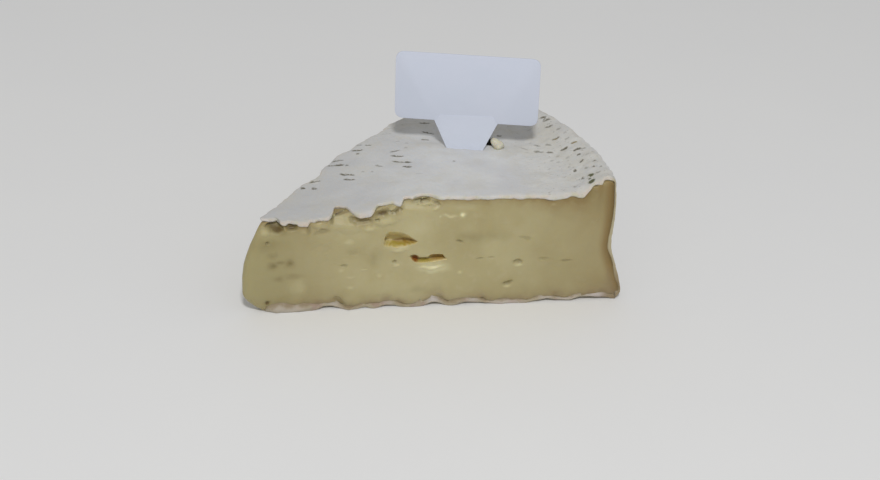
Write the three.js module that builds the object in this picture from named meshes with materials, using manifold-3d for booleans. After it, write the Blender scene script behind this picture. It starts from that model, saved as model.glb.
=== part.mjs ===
// A wedge of soft bloomy-rind cheese with a plain label card stuck in its top.
// Millimetres, +Z up. The cut that faces -Y runs along X, with the tip of the wedge on the left.
import * as THREE from 'three';
import { mergeVertices } from 'three/addons/utils/BufferGeometryUtils.js';
import Module from 'manifold-3d';

// The wheel that the wedge was cut from: 22 cm across its heel, about 4 cm thick. Its rim has a waist, over
// which it bulges, and under which it flares out to the heel and then turns under.
const rimRadius = 106.4;
const waistHeight = 20;
const rimBulge = { out: 0.5, height: 30, span: 12 };
const heelFlare = 4.0;
const heelHeight = 3;
const heelUnder = { in: 1.4, height: 2.4 };
const wedgeAngle = 50;
const tipRounding = 1.6;
const rimShoulder = { width: 3.2, fall: 1.8 };
const cornerShare = 0.965;

// Heights of the top along the two cuts, as [distance from the tip, height]
const frontCrest = [
  [0, 30.3], [10, 30.4], [22, 31.6], [34, 34.2], [44, 36.3], [56, 37.3], [88, 37.1], [97, 38.4], [104, 41.8],
  [112, 42.0],
];
const backCrest = [
  [0, 30.3], [12, 31.0], [30, 33.0], [46, 34.8], [62, 34.9], [82, 34.3], [96, 35.4], [104, 37.8], [112, 38.0],
];

// Rind: how thick it is, how far it stands over the cuts, and how the ripe paste swells between
const bottomRind = 2.6;
const heelForward = 0.5;
const seamDepth = 0.5;
const lipHeight = 1.2;
const lipReach = 0.9;
const lipCurl = 0.45;
const creaseDepth = 0.9;
const pasteSwell = 0.9;
const pasteRipple = 0.15;
const rindRipple = 0.3;
const topRipple = 0.12;
const backWave = { lift: 0.5, pitch: 13.6 };

// The ripe tip slumps outwards: how far, which way, at what height it is widest, and how far along the cuts
// it is felt. Its lowest edge sags over the bottom rind.
const tipSlump = 6.6;
const slumpWay = [-0.97, -0.25];
const slumpHeight = 7;
const slumpLength = 10;
const tipSag = { share: 0.6, length: 7 };

// Places along the front cut where the rind hangs over the edge or is torn back, with how far it drops and
// how far it stands forward (a tear has a negative reach)
const rindTears = [
  { at: 9, width: 4, drop: 1.6, reach: 0.8 },
  { at: 14, width: 3, drop: 1.5, reach: 0.6 },
  { at: 24.8, width: 3.4, drop: 0.4, reach: -3.4 },
  { at: 31.6, width: 4, drop: 3.0, reach: 1.3 },
  { at: 39.4, width: 4.4, drop: 0.8, reach: -2.2 },
  { at: 53, width: 5, drop: 0.7, reach: 0.3 },
  { at: 88, width: 5, drop: 0.7, reach: 0.6 },
  { at: 96.5, width: 3, drop: 0.8, reach: 0.5 },
];

// Where the bottom rind steps forward of the front cut or lifts off what the wedge stands on
const heelWaves = [
  { at: 3, width: 5, forward: 1.2, lift: 0 },
  { at: 13, width: 8, forward: 1.8, lift: 0 },
  { at: 21, width: 4, forward: -0.4, lift: 1.0 },
  { at: 26, width: 4, forward: 1.3, lift: 0 },
  { at: 31, width: 3, forward: 0, lift: 0.6 },
  { at: 34.6, width: 3, forward: 0.9, lift: 0 },
  { at: 40, width: 5, forward: -0.3, lift: 1.1 },
  { at: 46, width: 5, forward: 1.1, lift: 0 },
  { at: 51.5, width: 3, forward: -0.2, lift: 1.0 },
  { at: 57, width: 4, forward: 1.0, lift: 0 },
  { at: 62, width: 4, forward: -0.2, lift: 1.0 },
  { at: 76, width: 12, forward: 1.0, lift: 0 },
  { at: 88, width: 9, forward: -0.3, lift: 0.7 },
  { at: 99.5, width: 8, forward: -0.4, lift: 1.4 },
];

// Openings in the paste: the cut they are on, the centre along it and up, then half sizes along, in and up
const eyes = [
  { cut: 'front', at: 43.0, up: 21.4, half: [5.0, 8.0, 2.7], tilt: -6 },
  { cut: 'front', at: 48.6, up: 15.0, half: [3.5, 7.0, 2.3], tilt: 8 },
  { cut: 'front', at: 53.2, up: 15.2, half: [3.9, 8.0, 2.5], tilt: -3 },
  { cut: 'front', at: 60.7, up: 21.6, half: [1.2, 1.3, 0.6], tilt: -12 },
  { cut: 'front', at: 78.6, up: 13.6, half: [1.3, 1.6, 1.1], tilt: 0 },
  { cut: 'front', at: 75.6, up: 7.3, half: [1.4, 1.6, 0.9], tilt: 25 },
  { cut: 'back', at: 67, up: 19.5, half: [4.6, 6.0, 2.2], tilt: 5 },
  { cut: 'back', at: 36, up: 13.5, half: [1.9, 2.2, 1.2], tilt: -8 },
  { cut: 'back', at: 83, up: 11.0, half: [1.4, 1.6, 0.9], tilt: 10 },
];

// The label card: a rounded panel on a tapered stem that goes down into the cheese
const card = {
  width: 44, height: 22.4, corner: 2.8, thickness: 0.6,
  stemTop: 19.6, stemFoot: 11.4, stemShown: 9.0, stemBuried: 8, stemTip: 4.2,
};
const cardPlace = { x: 65.7, y: 33.9, turn: -11.5 };
const slitGap = 0.3;
const slitExtra = 3.2;
const slitDepth = 2.5;
const pushedLump = { along: 9.4, behind: 0.8, radius: 2.1, rise: 1.5 };

// How finely the wedge is divided: stations round its plan, levels of paste up its walls, and rings over its
// top and bottom as shares of the way out from the middle
const frontSteps = 74;
const arcSteps = 26;
const backSteps = 32;
const tipSteps = 7;
const pasteLevels = [0.03, 0.12, 0.24, 0.36, 0.48, 0.6, 0.72, 0.84, 0.95];
const floorRings = [0.3, 0.9, 0.97];
const topRings = [0.985, 0.96, 0.91, 0.84, 0.74, 0.62, 0.46, 0.26];
const edgeBlend = 0.93;

const radians = Math.PI / 180;
const apex = wedgeAngle * radians;
const tipReach = tipRounding / Math.tan(apex / 2);

function clamp01(value) {
  return Math.min(1, Math.max(0, value));
}

function smooth(from, to, value) {
  const s = clamp01((value - from) / (to - from));
  return s * s * (3 - 2 * s);
}

function mix(a, b, share) {
  return a + (b - a) * share;
}

// One soft bump, 1 at its middle and 0 beyond its width
function bump(value, middle, width) {
  const s = clamp01(Math.abs(value - middle) / width);
  return (1 - s * s) ** 2;
}

// A smooth curve through a few [position, value] pairs
function curveThrough(pairs) {
  const slopes = pairs.map((pair, i) => {
    const before = pairs[Math.max(0, i - 1)];
    const after = pairs[Math.min(pairs.length - 1, i + 1)];
    return (after[1] - before[1]) / (after[0] - before[0]);
  });
  return (x) => {
    let i = 0;
    while (i < pairs.length - 2 && x > pairs[i + 1][0]) i += 1;
    const [x0, y0] = pairs[i];
    const [x1, y1] = pairs[i + 1];
    const span = x1 - x0;
    const s = clamp01((x - x0) / span);
    const rest = 1 - s;
    return rest * rest * (1 + 2 * s) * y0 + s * s * (3 - 2 * s) * y1
      + s * rest * span * (rest * slopes[i] - s * slopes[i + 1]);
  };
}

// Small unevenness, the same on every run
function ripple(a, b) {
  return 0.5 * Math.sin(a * 0.61 + 1.3 * Math.sin(b * 0.37)) + 0.3 * Math.sin(a * 1.47 - b * 0.83 + 2.1)
    + 0.2 * Math.sin(a * 0.29 + b * 1.9 + 0.6);
}

const frontHeight = curveThrough(frontCrest);
const backHeight = curveThrough(backCrest);

// Height of the rind's top at a distance and angle from the wheel's centre
function topHeight(x, y) {
  const distance = Math.hypot(x, y);
  const turn = clamp01(Math.atan2(y, x) / apex);
  const level = mix(frontHeight(distance), backHeight(distance), turn);
  const shoulder = clamp01((distance - rimRadius) / rimShoulder.width + 1);
  const rounding = rimShoulder.fall * (1 - Math.sqrt(1 - shoulder ** 2));
  return level - rounding + topRipple * ripple(x * 0.45, y * 0.45);
}

// Radius of the rim at a height
function rimRadiusAt(height) {
  const flare = heelFlare * smooth(waistHeight, heelHeight, height);
  const bulge = rimBulge.out * bump(height, rimBulge.height, rimBulge.span);
  const under = heelUnder.in * smooth(heelUnder.height, 0, height);
  return rimRadius + flare + bulge - under;
}

// Stations round the wedge's plan: which wall each belongs to, its place on that wall, and which way is out
function planStations() {
  const stations = [];
  for (let i = 0; i < frontSteps; i += 1) {
    stations.push({ wall: 'front', share: i / frontSteps, outX: 0, outY: -1 });
  }
  for (let i = 0; i <= arcSteps; i += 1) {
    const angle = (apex * i) / arcSteps;
    stations.push({ wall: 'rim', angle, outX: Math.cos(angle), outY: Math.sin(angle) });
  }
  for (let i = 1; i <= backSteps; i += 1) {
    stations.push({ wall: 'back', share: 1 - i / backSteps, outX: -Math.sin(apex), outY: Math.cos(apex) });
  }
  for (let i = 1; i < tipSteps; i += 1) {
    const angle = mix(Math.PI / 2 + apex, (Math.PI * 3) / 2, i / tipSteps);
    stations.push({ wall: 'tip', angle, outX: Math.cos(angle), outY: Math.sin(angle) });
  }
  return stations;
}

// The nominal wall at a station where the rim has a radius, before any relief
function wallPoint(station, radius) {
  if (station.wall === 'rim') {
    return [radius * Math.cos(station.angle), radius * Math.sin(station.angle)];
  }
  if (station.wall === 'tip') {
    return [tipReach + tipRounding * station.outX, tipRounding + tipRounding * station.outY];
  }
  const along = mix(tipReach, radius, station.share);
  const turn = station.wall === 'front' ? 0 : apex;
  return [along * Math.cos(turn), along * Math.sin(turn)];
}

// How much a station counts as a cut face: 0 on the rim, rising to 1 away from its corners
function cutShare(station) {
  if (station.wall === 'rim') return 0;
  if (station.wall === 'tip') return 1;
  return smooth(1, cornerShare, station.share);
}

// What holds for a whole station: its height, and how its two rind edges wander
function edgesAt(station) {
  const [x, y] = wallPoint(station, rimRadius);
  const along = Math.hypot(x, y);
  const cut = cutShare(station);
  const front = station.wall === 'front' ? cut : 0;
  let crest = topHeight(x, y);
  let reach = 0;
  rindTears.forEach((tear) => {
    const amount = front * bump(x, tear.at, tear.width);
    crest -= amount * tear.drop;
    reach += amount * tear.reach;
  });
  let forward = heelForward * front + rindRipple * ripple(along * 2.2, 5) * cut;
  let lift = 0;
  heelWaves.forEach((wave) => {
    const amount = front * bump(x, wave.at, wave.width);
    forward += amount * wave.forward;
    lift += amount * wave.lift;
  });
  if (station.wall === 'back') {
    lift += backWave.lift * cut * (0.5 + 0.5 * Math.sin((2 * Math.PI * along) / backWave.pitch));
  }
  const sag = tipSag.share * cut * bump(along, 0, tipSag.length);
  return { along, cut, crest, reach, forward, lift, seam: (bottomRind + lift) * (1 - sag) };
}

// Relief of each kind of level: how far out it stands and its height, and for paste how far it slumps
const levelShapes = {
  floor: ({ forward, lift, cut }) => ({ out: forward - mix(0.8, 0.5, cut), height: lift }),
  heel: ({ forward, lift, cut, seam }, share) => ({
    out: forward + 0.3 * (cut - share),
    height: mix(lift, seam, share),
  }),
  seam: ({ forward, cut, seam }) => ({ out: Math.min(forward, 0) - seamDepth * cut, height: seam + 0.3 }),
  paste: ({ along, cut, crest, reach, seam }, share) => {
    const height = mix(seam + 0.5, crest - lipHeight, share);
    const swell = pasteSwell * Math.sin(Math.PI * share) ** 0.8;
    const torn = Math.min(0, reach) * smooth(0.72, 1, share) * 0.5;
    const span = height > slumpHeight ? crest - slumpHeight : slumpHeight;
    const lean = 1 - ((height - slumpHeight) / span) ** 2;
    return {
      out: cut * (swell + pasteRipple * ripple(along * 1.1, height * 0.6)) + torn,
      height,
      slump: tipSlump * cut * bump(along, 0, slumpLength) * lean,
    };
  },
  crease: ({ cut, crest, reach }) => ({
    out: Math.min(0, reach * 0.8) - creaseDepth * cut,
    height: crest - lipHeight + 0.15,
  }),
  lip: ({ along, cut, crest, reach }, share) => {
    const curl = lipCurl * (1 - Math.abs(share * 2 - 0.8)) - 0.4 * share;
    return {
      out: cut * (lipReach + reach + rindRipple * ripple(along * 1.7, 9) + curl),
      height: crest - lipHeight * 0.8 * (1 - share),
    };
  },
};

// The levels of the wall from the floor up, each with its share of the way up its own part
const wallLevels = [
  { part: 'floor' },
  { part: 'heel', share: 0.25 },
  { part: 'heel', share: 1 },
  { part: 'seam' },
  ...pasteLevels.map((share) => ({ part: 'paste', share })),
  { part: 'crease' },
  { part: 'lip', share: 0 },
  { part: 'lip', share: 0.6 },
  { part: 'lip', share: 1 },
];

function wallRing(stations, level) {
  return stations.map((station) => {
    const { out, height, slump = 0 } = levelShapes[level.part](edgesAt(station), level.share);
    const [x, y] = wallPoint(station, rimRadiusAt(height));
    const movedX = x + station.outX * out + slumpWay[0] * slump;
    const movedY = y + station.outY * out + slumpWay[1] * slump;
    return new THREE.Vector3(movedX, movedY, Math.max(0, height));
  });
}

// Rings that shrink towards a middle point close the top and the bottom
function capRing(edge, middle, share, heightAt) {
  return edge.map((point) => {
    const x = mix(middle.x, point.x, share);
    const y = mix(middle.y, point.y, share);
    return new THREE.Vector3(x, y, heightAt(x, y, point));
  });
}

// A closed body from rings of equal count, with one point under the first ring and one over the last
function bodyFromRings(rings, first, last) {
  const count = rings[0].length;
  const positions = [first, ...rings.flat(), last].flatMap((point) => [point.x, point.y, point.z]);
  const lastIndex = rings.length * count + 1;
  const at = (ring, i) => 1 + ring * count + (i % count);
  const index = [];
  for (let i = 0; i < count; i += 1) {
    index.push(0, at(0, i + 1), at(0, i));
    for (let ring = 0; ring < rings.length - 1; ring += 1) {
      index.push(at(ring, i), at(ring, i + 1), at(ring + 1, i + 1));
      index.push(at(ring, i), at(ring + 1, i + 1), at(ring + 1, i));
    }
    index.push(lastIndex, at(rings.length - 1, i), at(rings.length - 1, i + 1));
  }
  const geometry = new THREE.BufferGeometry();
  geometry.setAttribute('position', new THREE.Float32BufferAttribute(positions, 3));
  geometry.setIndex(index);
  return geometry;
}

function wedgeGeometry() {
  const stations = planStations();
  const wall = wallLevels.map((level) => wallRing(stations, level));
  const middleAlong = rimRadius * 0.56;
  const middle = { x: middleAlong, y: middleAlong * Math.tan(apex / 2) };
  const floorEdge = wall[0];
  const topEdge = wall[wall.length - 1];
  const floor = floorRings.map((share) => capRing(floorEdge, middle, share, () => 0));
  const top = topRings.map((share) => capRing(topEdge, middle, share, (x, y, point) => (
    mix(topHeight(x, y), point.z, smooth(edgeBlend, 1, share))
  )));
  const first = new THREE.Vector3(middle.x, middle.y, 0);
  const last = new THREE.Vector3(middle.x, middle.y, topHeight(middle.x, middle.y));
  return bodyFromRings([...floor, ...wall, ...top], first, last);
}

// Outline of the card. The origin is where its stem enters the cheese.
function cardOutline() {
  const { width, height, corner, stemTop, stemFoot, stemShown, stemBuried, stemTip } = card;
  const side = width / 2;
  const top = stemShown + height;
  const shape = new THREE.Shape();
  shape.moveTo(-stemTip / 2, -stemBuried);
  shape.lineTo(stemTip / 2, -stemBuried);
  shape.lineTo(stemFoot / 2, 0);
  shape.lineTo(stemTop / 2, stemShown);
  shape.lineTo(side - corner, stemShown);
  shape.quadraticCurveTo(side, stemShown, side, stemShown + corner);
  shape.lineTo(side, top - corner);
  shape.quadraticCurveTo(side, top, side - corner, top);
  shape.lineTo(-side + corner, top);
  shape.quadraticCurveTo(-side, top, -side, top - corner);
  shape.lineTo(-side, stemShown + corner);
  shape.quadraticCurveTo(-side, stemShown, -side + corner, stemShown);
  shape.lineTo(-stemTop / 2, stemShown);
  shape.lineTo(-stemFoot / 2, 0);
  shape.closePath();
  return shape;
}

// Outline of the slit round the stem, longer on one side, where the card was pushed in askew
function slitOutline() {
  const { stemTop, stemFoot, stemShown, stemBuried, stemTip } = card;
  const shape = new THREE.Shape();
  shape.moveTo(-stemTip / 2 - slitGap, -stemBuried - slitGap);
  shape.lineTo(stemTip / 2 + slitGap, -stemBuried - slitGap);
  shape.lineTo(stemFoot / 2 + slitExtra * 0.8, -slitDepth);
  shape.lineTo(stemFoot / 2 + slitExtra, slitDepth);
  shape.lineTo(stemTop / 2 + slitGap, stemShown);
  shape.lineTo(-stemTop / 2 - slitGap, stemShown);
  shape.lineTo(-stemFoot / 2 - slitGap, 0);
  shape.closePath();
  return shape;
}

// A flat sheet of the given thickness, standing upright with its middle plane on Y = 0
function standingSheet(shape, thickness) {
  const options = { depth: thickness, bevelEnabled: false, curveSegments: 5 };
  const geometry = new THREE.ExtrudeGeometry(shape, options);
  geometry.translate(0, 0, -thickness / 2);
  geometry.rotateX(Math.PI / 2);
  return geometry;
}

function placeInCheese(geometry) {
  geometry.rotateZ(cardPlace.turn * radians);
  geometry.translate(cardPlace.x, cardPlace.y, topHeight(cardPlace.x, cardPlace.y));
  return geometry;
}

function eyeGeometry(eye) {
  const [along, inward, up] = eye.half;
  const [around, over] = along > 2 ? [14, 10] : [8, 6];
  const geometry = new THREE.SphereGeometry(1, around, over);
  geometry.scale(along, inward, up);
  geometry.rotateY(-eye.tilt * radians);
  geometry.translate(eye.at, eye.cut === 'back' ? pasteSwell : -pasteSwell, eye.up);
  if (eye.cut === 'back') geometry.rotateZ(apex);
  return geometry;
}

function lumpGeometry() {
  const geometry = new THREE.SphereGeometry(pushedLump.radius, 10, 7);
  geometry.scale(1.15, 0.8, pushedLump.rise / pushedLump.radius);
  geometry.translate(pushedLump.along, pushedLump.behind, 0);
  return placeInCheese(geometry);
}

// Solids for cutting and joining
const wasm = await Module();
wasm.setup();

function solidOf(geometry) {
  const bare = geometry.clone();
  bare.deleteAttribute('normal');
  bare.deleteAttribute('uv');
  const merged = mergeVertices(bare, 1e-4);
  return new wasm.Manifold(new wasm.Mesh({
    numProp: 3,
    vertProperties: new Float32Array(merged.attributes.position.array),
    triVerts: new Uint32Array(merged.index.array),
  }));
}

function geometryOf(solid) {
  const mesh = solid.getMesh();
  const geometry = new THREE.BufferGeometry();
  geometry.setAttribute('position', new THREE.BufferAttribute(new Float32Array(mesh.vertProperties), 3));
  geometry.setIndex(new THREE.BufferAttribute(new Uint32Array(mesh.triVerts), 1));
  geometry.computeVertexNormals();
  return geometry;
}

function cheeseWedge() {
  let solid = solidOf(wedgeGeometry()).add(solidOf(lumpGeometry()));
  eyes.forEach((eye) => {
    solid = solid.subtract(solidOf(eyeGeometry(eye)));
  });
  const slit = placeInCheese(standingSheet(slitOutline(), card.thickness + 2 * slitGap));
  solid = solid.subtract(solidOf(slit));
  const material = new THREE.MeshStandardMaterial({ color: 0xd9cc9c, roughness: 0.6, metalness: 0 });
  const mesh = new THREE.Mesh(geometryOf(solid), material);
  mesh.name = 'cheese_wedge';
  return mesh;
}

function labelCard() {
  const geometry = placeInCheese(standingSheet(cardOutline(), card.thickness));
  const material = new THREE.MeshStandardMaterial({ color: 0xe9edf3, roughness: 0.45, metalness: 0 });
  const mesh = new THREE.Mesh(geometry, material);
  mesh.name = 'label_card';
  return mesh;
}

// The origin is moved under the middle of the whole part
const part = new THREE.Group();
part.add(cheeseWedge(), labelCard());
const box = new THREE.Box3().setFromObject(part, true);
part.position.set(-(box.min.x + box.max.x) / 2, -(box.min.y + box.max.y) / 2, -box.min.z);
part.updateMatrixWorld(true);

export default part;
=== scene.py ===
"""Looks of a wedge of soft white-rind cheese with a plain label card stuck in its top."""
import math

import bmesh
import bpy
import numpy as np
from mathutils import Matrix, Vector


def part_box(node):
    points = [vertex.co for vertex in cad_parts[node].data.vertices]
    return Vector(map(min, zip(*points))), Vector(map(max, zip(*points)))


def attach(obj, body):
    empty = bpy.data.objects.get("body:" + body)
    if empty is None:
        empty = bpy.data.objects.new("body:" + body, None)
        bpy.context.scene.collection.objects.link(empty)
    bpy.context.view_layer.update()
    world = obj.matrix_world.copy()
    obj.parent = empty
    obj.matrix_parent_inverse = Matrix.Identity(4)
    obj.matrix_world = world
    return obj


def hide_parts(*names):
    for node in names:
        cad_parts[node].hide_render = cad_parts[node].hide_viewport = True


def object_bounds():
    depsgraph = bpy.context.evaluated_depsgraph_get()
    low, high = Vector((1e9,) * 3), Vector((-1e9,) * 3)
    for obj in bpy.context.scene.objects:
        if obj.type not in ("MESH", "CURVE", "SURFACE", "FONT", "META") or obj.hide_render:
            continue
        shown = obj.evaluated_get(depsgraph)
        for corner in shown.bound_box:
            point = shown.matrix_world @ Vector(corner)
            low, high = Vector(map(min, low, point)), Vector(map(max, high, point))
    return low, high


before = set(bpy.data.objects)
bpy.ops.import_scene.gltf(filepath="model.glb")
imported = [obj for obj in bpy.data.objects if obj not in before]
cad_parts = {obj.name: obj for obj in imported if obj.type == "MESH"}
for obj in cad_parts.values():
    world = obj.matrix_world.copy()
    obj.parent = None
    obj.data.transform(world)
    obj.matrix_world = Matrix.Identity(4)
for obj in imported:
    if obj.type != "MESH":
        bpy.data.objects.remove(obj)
cad_low, cad_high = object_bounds()

MM = 0.001
SEED = 7

# The wheel that the wedge was cut from, in millimetres round its own middle, which is where the tip is.
# X runs along the front cut, Y away from it and Z up. The CAD box says where that middle is in the frame.
TIP_OVERHANG = 4.556
FRONT_OVERHANG = 2.640
WEDGE_ANGLE = math.radians(50)
RIM_RADIUS = 106.4
WAIST_HEIGHT = 20
RIM_BULGE = {"out": 0.5, "height": 30, "span": 12}
HEEL_FLARE = 4.0
HEEL_HEIGHT = 3
HEEL_UNDER = {"in": 1.4, "height": 2.4}
TIP_ROUNDING = 1.6
SHOULDER = {"width": 3.2, "fall": 1.8}
CORNER_SHARE = 0.965
TOP_RIPPLE = {"height": 0.12, "rate": 0.45}
TIP_REACH = TIP_ROUNDING / math.tan(WEDGE_ANGLE / 2)
TIP_DIP_END = 12
TIP_DIP = TIP_REACH + TIP_ROUNDING - TIP_ROUNDING / math.sin(WEDGE_ANGLE / 2)

# Heights of the top along the two cuts, as (distance from the tip, height)
FRONT_CREST = [
    (0, 30.3), (10, 30.4), (22, 31.6), (34, 34.2), (44, 36.3), (56, 37.3), (88, 37.1), (97, 38.4),
    (104, 41.8), (112, 42),
]
BACK_CREST = [
    (0, 30.3), (12, 31), (30, 33), (46, 34.8), (62, 34.9), (82, 34.3), (96, 35.4), (104, 37.8), (112, 38),
]

# The torn edge of the top rind along the front cut: distance from the tip, how far it stands out over the
# cut (torn back if negative) and how far it hangs (curls up if negative)
TORN_LIP = [
    (1, -1.2, 0), (3.6, -1.7, -0.1), (6.2, -1.9, -0.3), (7.2, 0, 0.1), (8.2, 0.4, 0.4), (9.6, -0.5, 0),
    (11.7, 0, 0.1), (12.4, 0.6, 0.55), (14.9, 0.7, 0.8), (15.7, 0, 0), (18.2, 0.1, 0.05), (21, -0.1, 0),
    (22.3, -1.6, 0), (23.3, -4.9, -0.5), (26.4, -4.4, -0.2), (27.9, -1.4, 0), (29.2, 0.4, 0.4),
    (30.9, 1.2, 0.9), (33.2, 1.2, 1.1), (34.5, 0.5, 0.4), (35.4, -1.1, 0), (37.5, -1.6, 0), (40, -0.9, 0),
    (42.5, 0.4, 0.25), (43.6, -2.4, 0), (46.1, -2, 0), (48.3, -2.8, -0.1), (50.4, -2.6, 0),
    (52.3, -1.2, 0), (53.8, 0, 0), (58, 0.3, 0.1), (70, 0.35, 0.05), (80, 0.3, 0.05), (85, 0.4, 0.1),
    (87.4, 0.7, 0.6), (90.6, 0.6, 0.6), (93.5, 0.4, 0.2), (96.6, 0.8, 1.6), (98, 0.5, 0.7),
    (98.9, 0.3, 0.2), (99.9, -0.7, 0), (102.2, 0.3, 0.5), (103.2, -0.9, 0), (105, -1, 0), (107, -0.2, 0),
]

# How far the top rind stands out along the back cut, as (distance from the tip, reach)
BACK_LIP = [
    (1, 1.1), (10, 1.4), (24, 1.6), (27.5, 0.8), (31.5, 0.35), (35, 1.2), (42, 1.6), (48, 0.15),
    (52, 0.85), (57, 0.5), (61, 0.25), (70, 0.7), (78, -0.2), (84, 0.5), (96, 0.3), (108, 0.2),
]

# The edge of the bottom rind along the front cut: distance from the tip, the height where the paste meets
# it, how far it is lifted and how far it stands forward
HEEL_LIP = [
    (3.4, 1.4, 0, 0.4), (5, 2.9, 0, 1.5), (10, 2.1, 0, 1.6), (14.4, 2.3, 0, 1.3), (17, 2.6, 0.1, 0.9),
    (20.2, 2.6, 1, 0.3), (22.4, 3.3, 1.1, 0.2), (24.6, 1.8, 0, 0.6), (26.6, 0.9, 0, 1.2),
    (28.7, 0.8, 0, 1.2), (31.7, 2, 0.3, 0.5), (35.2, 1.9, 0, 1), (38.3, 2.9, 0.8, 0.3),
    (41, 2.6, 0.7, 0.3), (43.5, 1.7, 0, 0.6), (45.6, 1.6, 0, 1.1), (48, 2.1, 0, 0.8), (50, 3.1, 0.2, 0.4),
    (52.9, 4.6, 1.1, 0.5), (55.4, 2.1, 0.5, 0.2), (57.4, 1.6, 0, 0.9), (59.8, 1.9, 0.1, 0.7),
    (63, 2.9, 0.9, 0.5), (65.6, 2.8, 0.6, 0.5), (68.2, 1.4, 0.3, 0.5), (72.5, 1.2, 0, 0.8),
    (77, 1.3, 0, 1), (81.7, 1.2, 0.1, 0.8), (83.9, 1.8, 0.7, 0.5), (86.4, 2.5, 0.9, 0.4),
    (89, 2, 0.8, 0.6), (92, 1.7, 0.5, 0.6), (95.4, 2, 0.6, 0.6), (98, 2.9, 1.2, 0.5),
    (101.5, 3, 1.2, 0.4), (105.2, 3.1, 0.8, 0.4), (108, 2.8, 0.2, 0.3),
]

# How thick the rind is on the top, on the rim as (height, thickness), and underneath
TOP_RIND = 0.9
RIM_RIND = [
    (0, 0.6), (4.5, 0.6), (7.7, 1.4), (11, 1), (14.5, 0.7), (17.5, 1.3), (21, 1.2), (25, 0.9), (30, 0.65),
    (35, 0.45), (41, 0.45),
]
BOTTOM_RIND = 2.6

# How far the top rind is torn back at the tip, and how far in from an edge it starts to hang
TIP_TORN = 0.2
HANG_WIDTH = 2.6

# The ripe paste swells between the rinds, and slumps outwards at the tip
PASTE_SWELL = 0.9
TIP_SLUMP = {"far": 6.6, "way": (-0.97, -0.25), "height": 7, "length": 10}

# The point that the marks on the front cut were sighted from, because a deeper mark shows lower on the wall
SIGHT = {"along": -17.7, "away": 528.1, "height": 328.2}

# Open eyes of the front cut: their upper and lower outlines as (distance from the tip, height), their depth
# and how gently their roofs slope in
EYES = [
    {
        "top": [
            (37.6, 21.2), (37.9, 23.7), (38.5, 25.2), (39.6, 25.8), (42.4, 25.6), (44.1, 24.8), (46.6, 23.1),
            (48.1, 22.2),
        ],
        "bottom": [(37.6, 21.2), (38.5, 20.9), (41.8, 20.6), (43.9, 20.8), (46.6, 21.6), (48.1, 22.2)],
        "depth": 3.6, "roof": 3.4,
    },
    {
        "top": [
            (45.3, 17.0), (46.0, 17.8), (47.1, 17.7), (48.6, 16.8), (50.9, 16.8), (51.6, 17.6), (52.3, 17.8),
            (55.2, 17.7), (56.0, 16.6), (57.0, 15.7),
        ],
        "bottom": [
            (45.3, 17.0), (46.3, 15.9), (47.2, 15.1), (48.4, 14.9), (50.9, 15.1), (53.0, 15.3), (57.0, 15.7),
        ],
        "depth": 1.9, "roof": 1.1,
    },
]

# Where an eye's inside is painted golden, as the glow of light through the paste on its lit floor, and
# where it is painted a dark red-brown, as the shade deep in it: distance from the tip, height, half length,
# half height and strength
EYE_GLOW = [(42.6, 21.9, 5.2, 1.4, 1), (49.8, 15.6, 2.8, 1.1, 1), (53.8, 16.9, 2.4, 0.9, 0.8)]
EYE_SHADE = [
    (43, 23.1, 3.6, 0.6, 0.5), (45.9, 22.4, 1.8, 0.7, 0.45), (46.9, 16.3, 1.2, 1.5, 1),
    (53.8, 16.8, 2.6, 1.2, 0.5),
]
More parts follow.
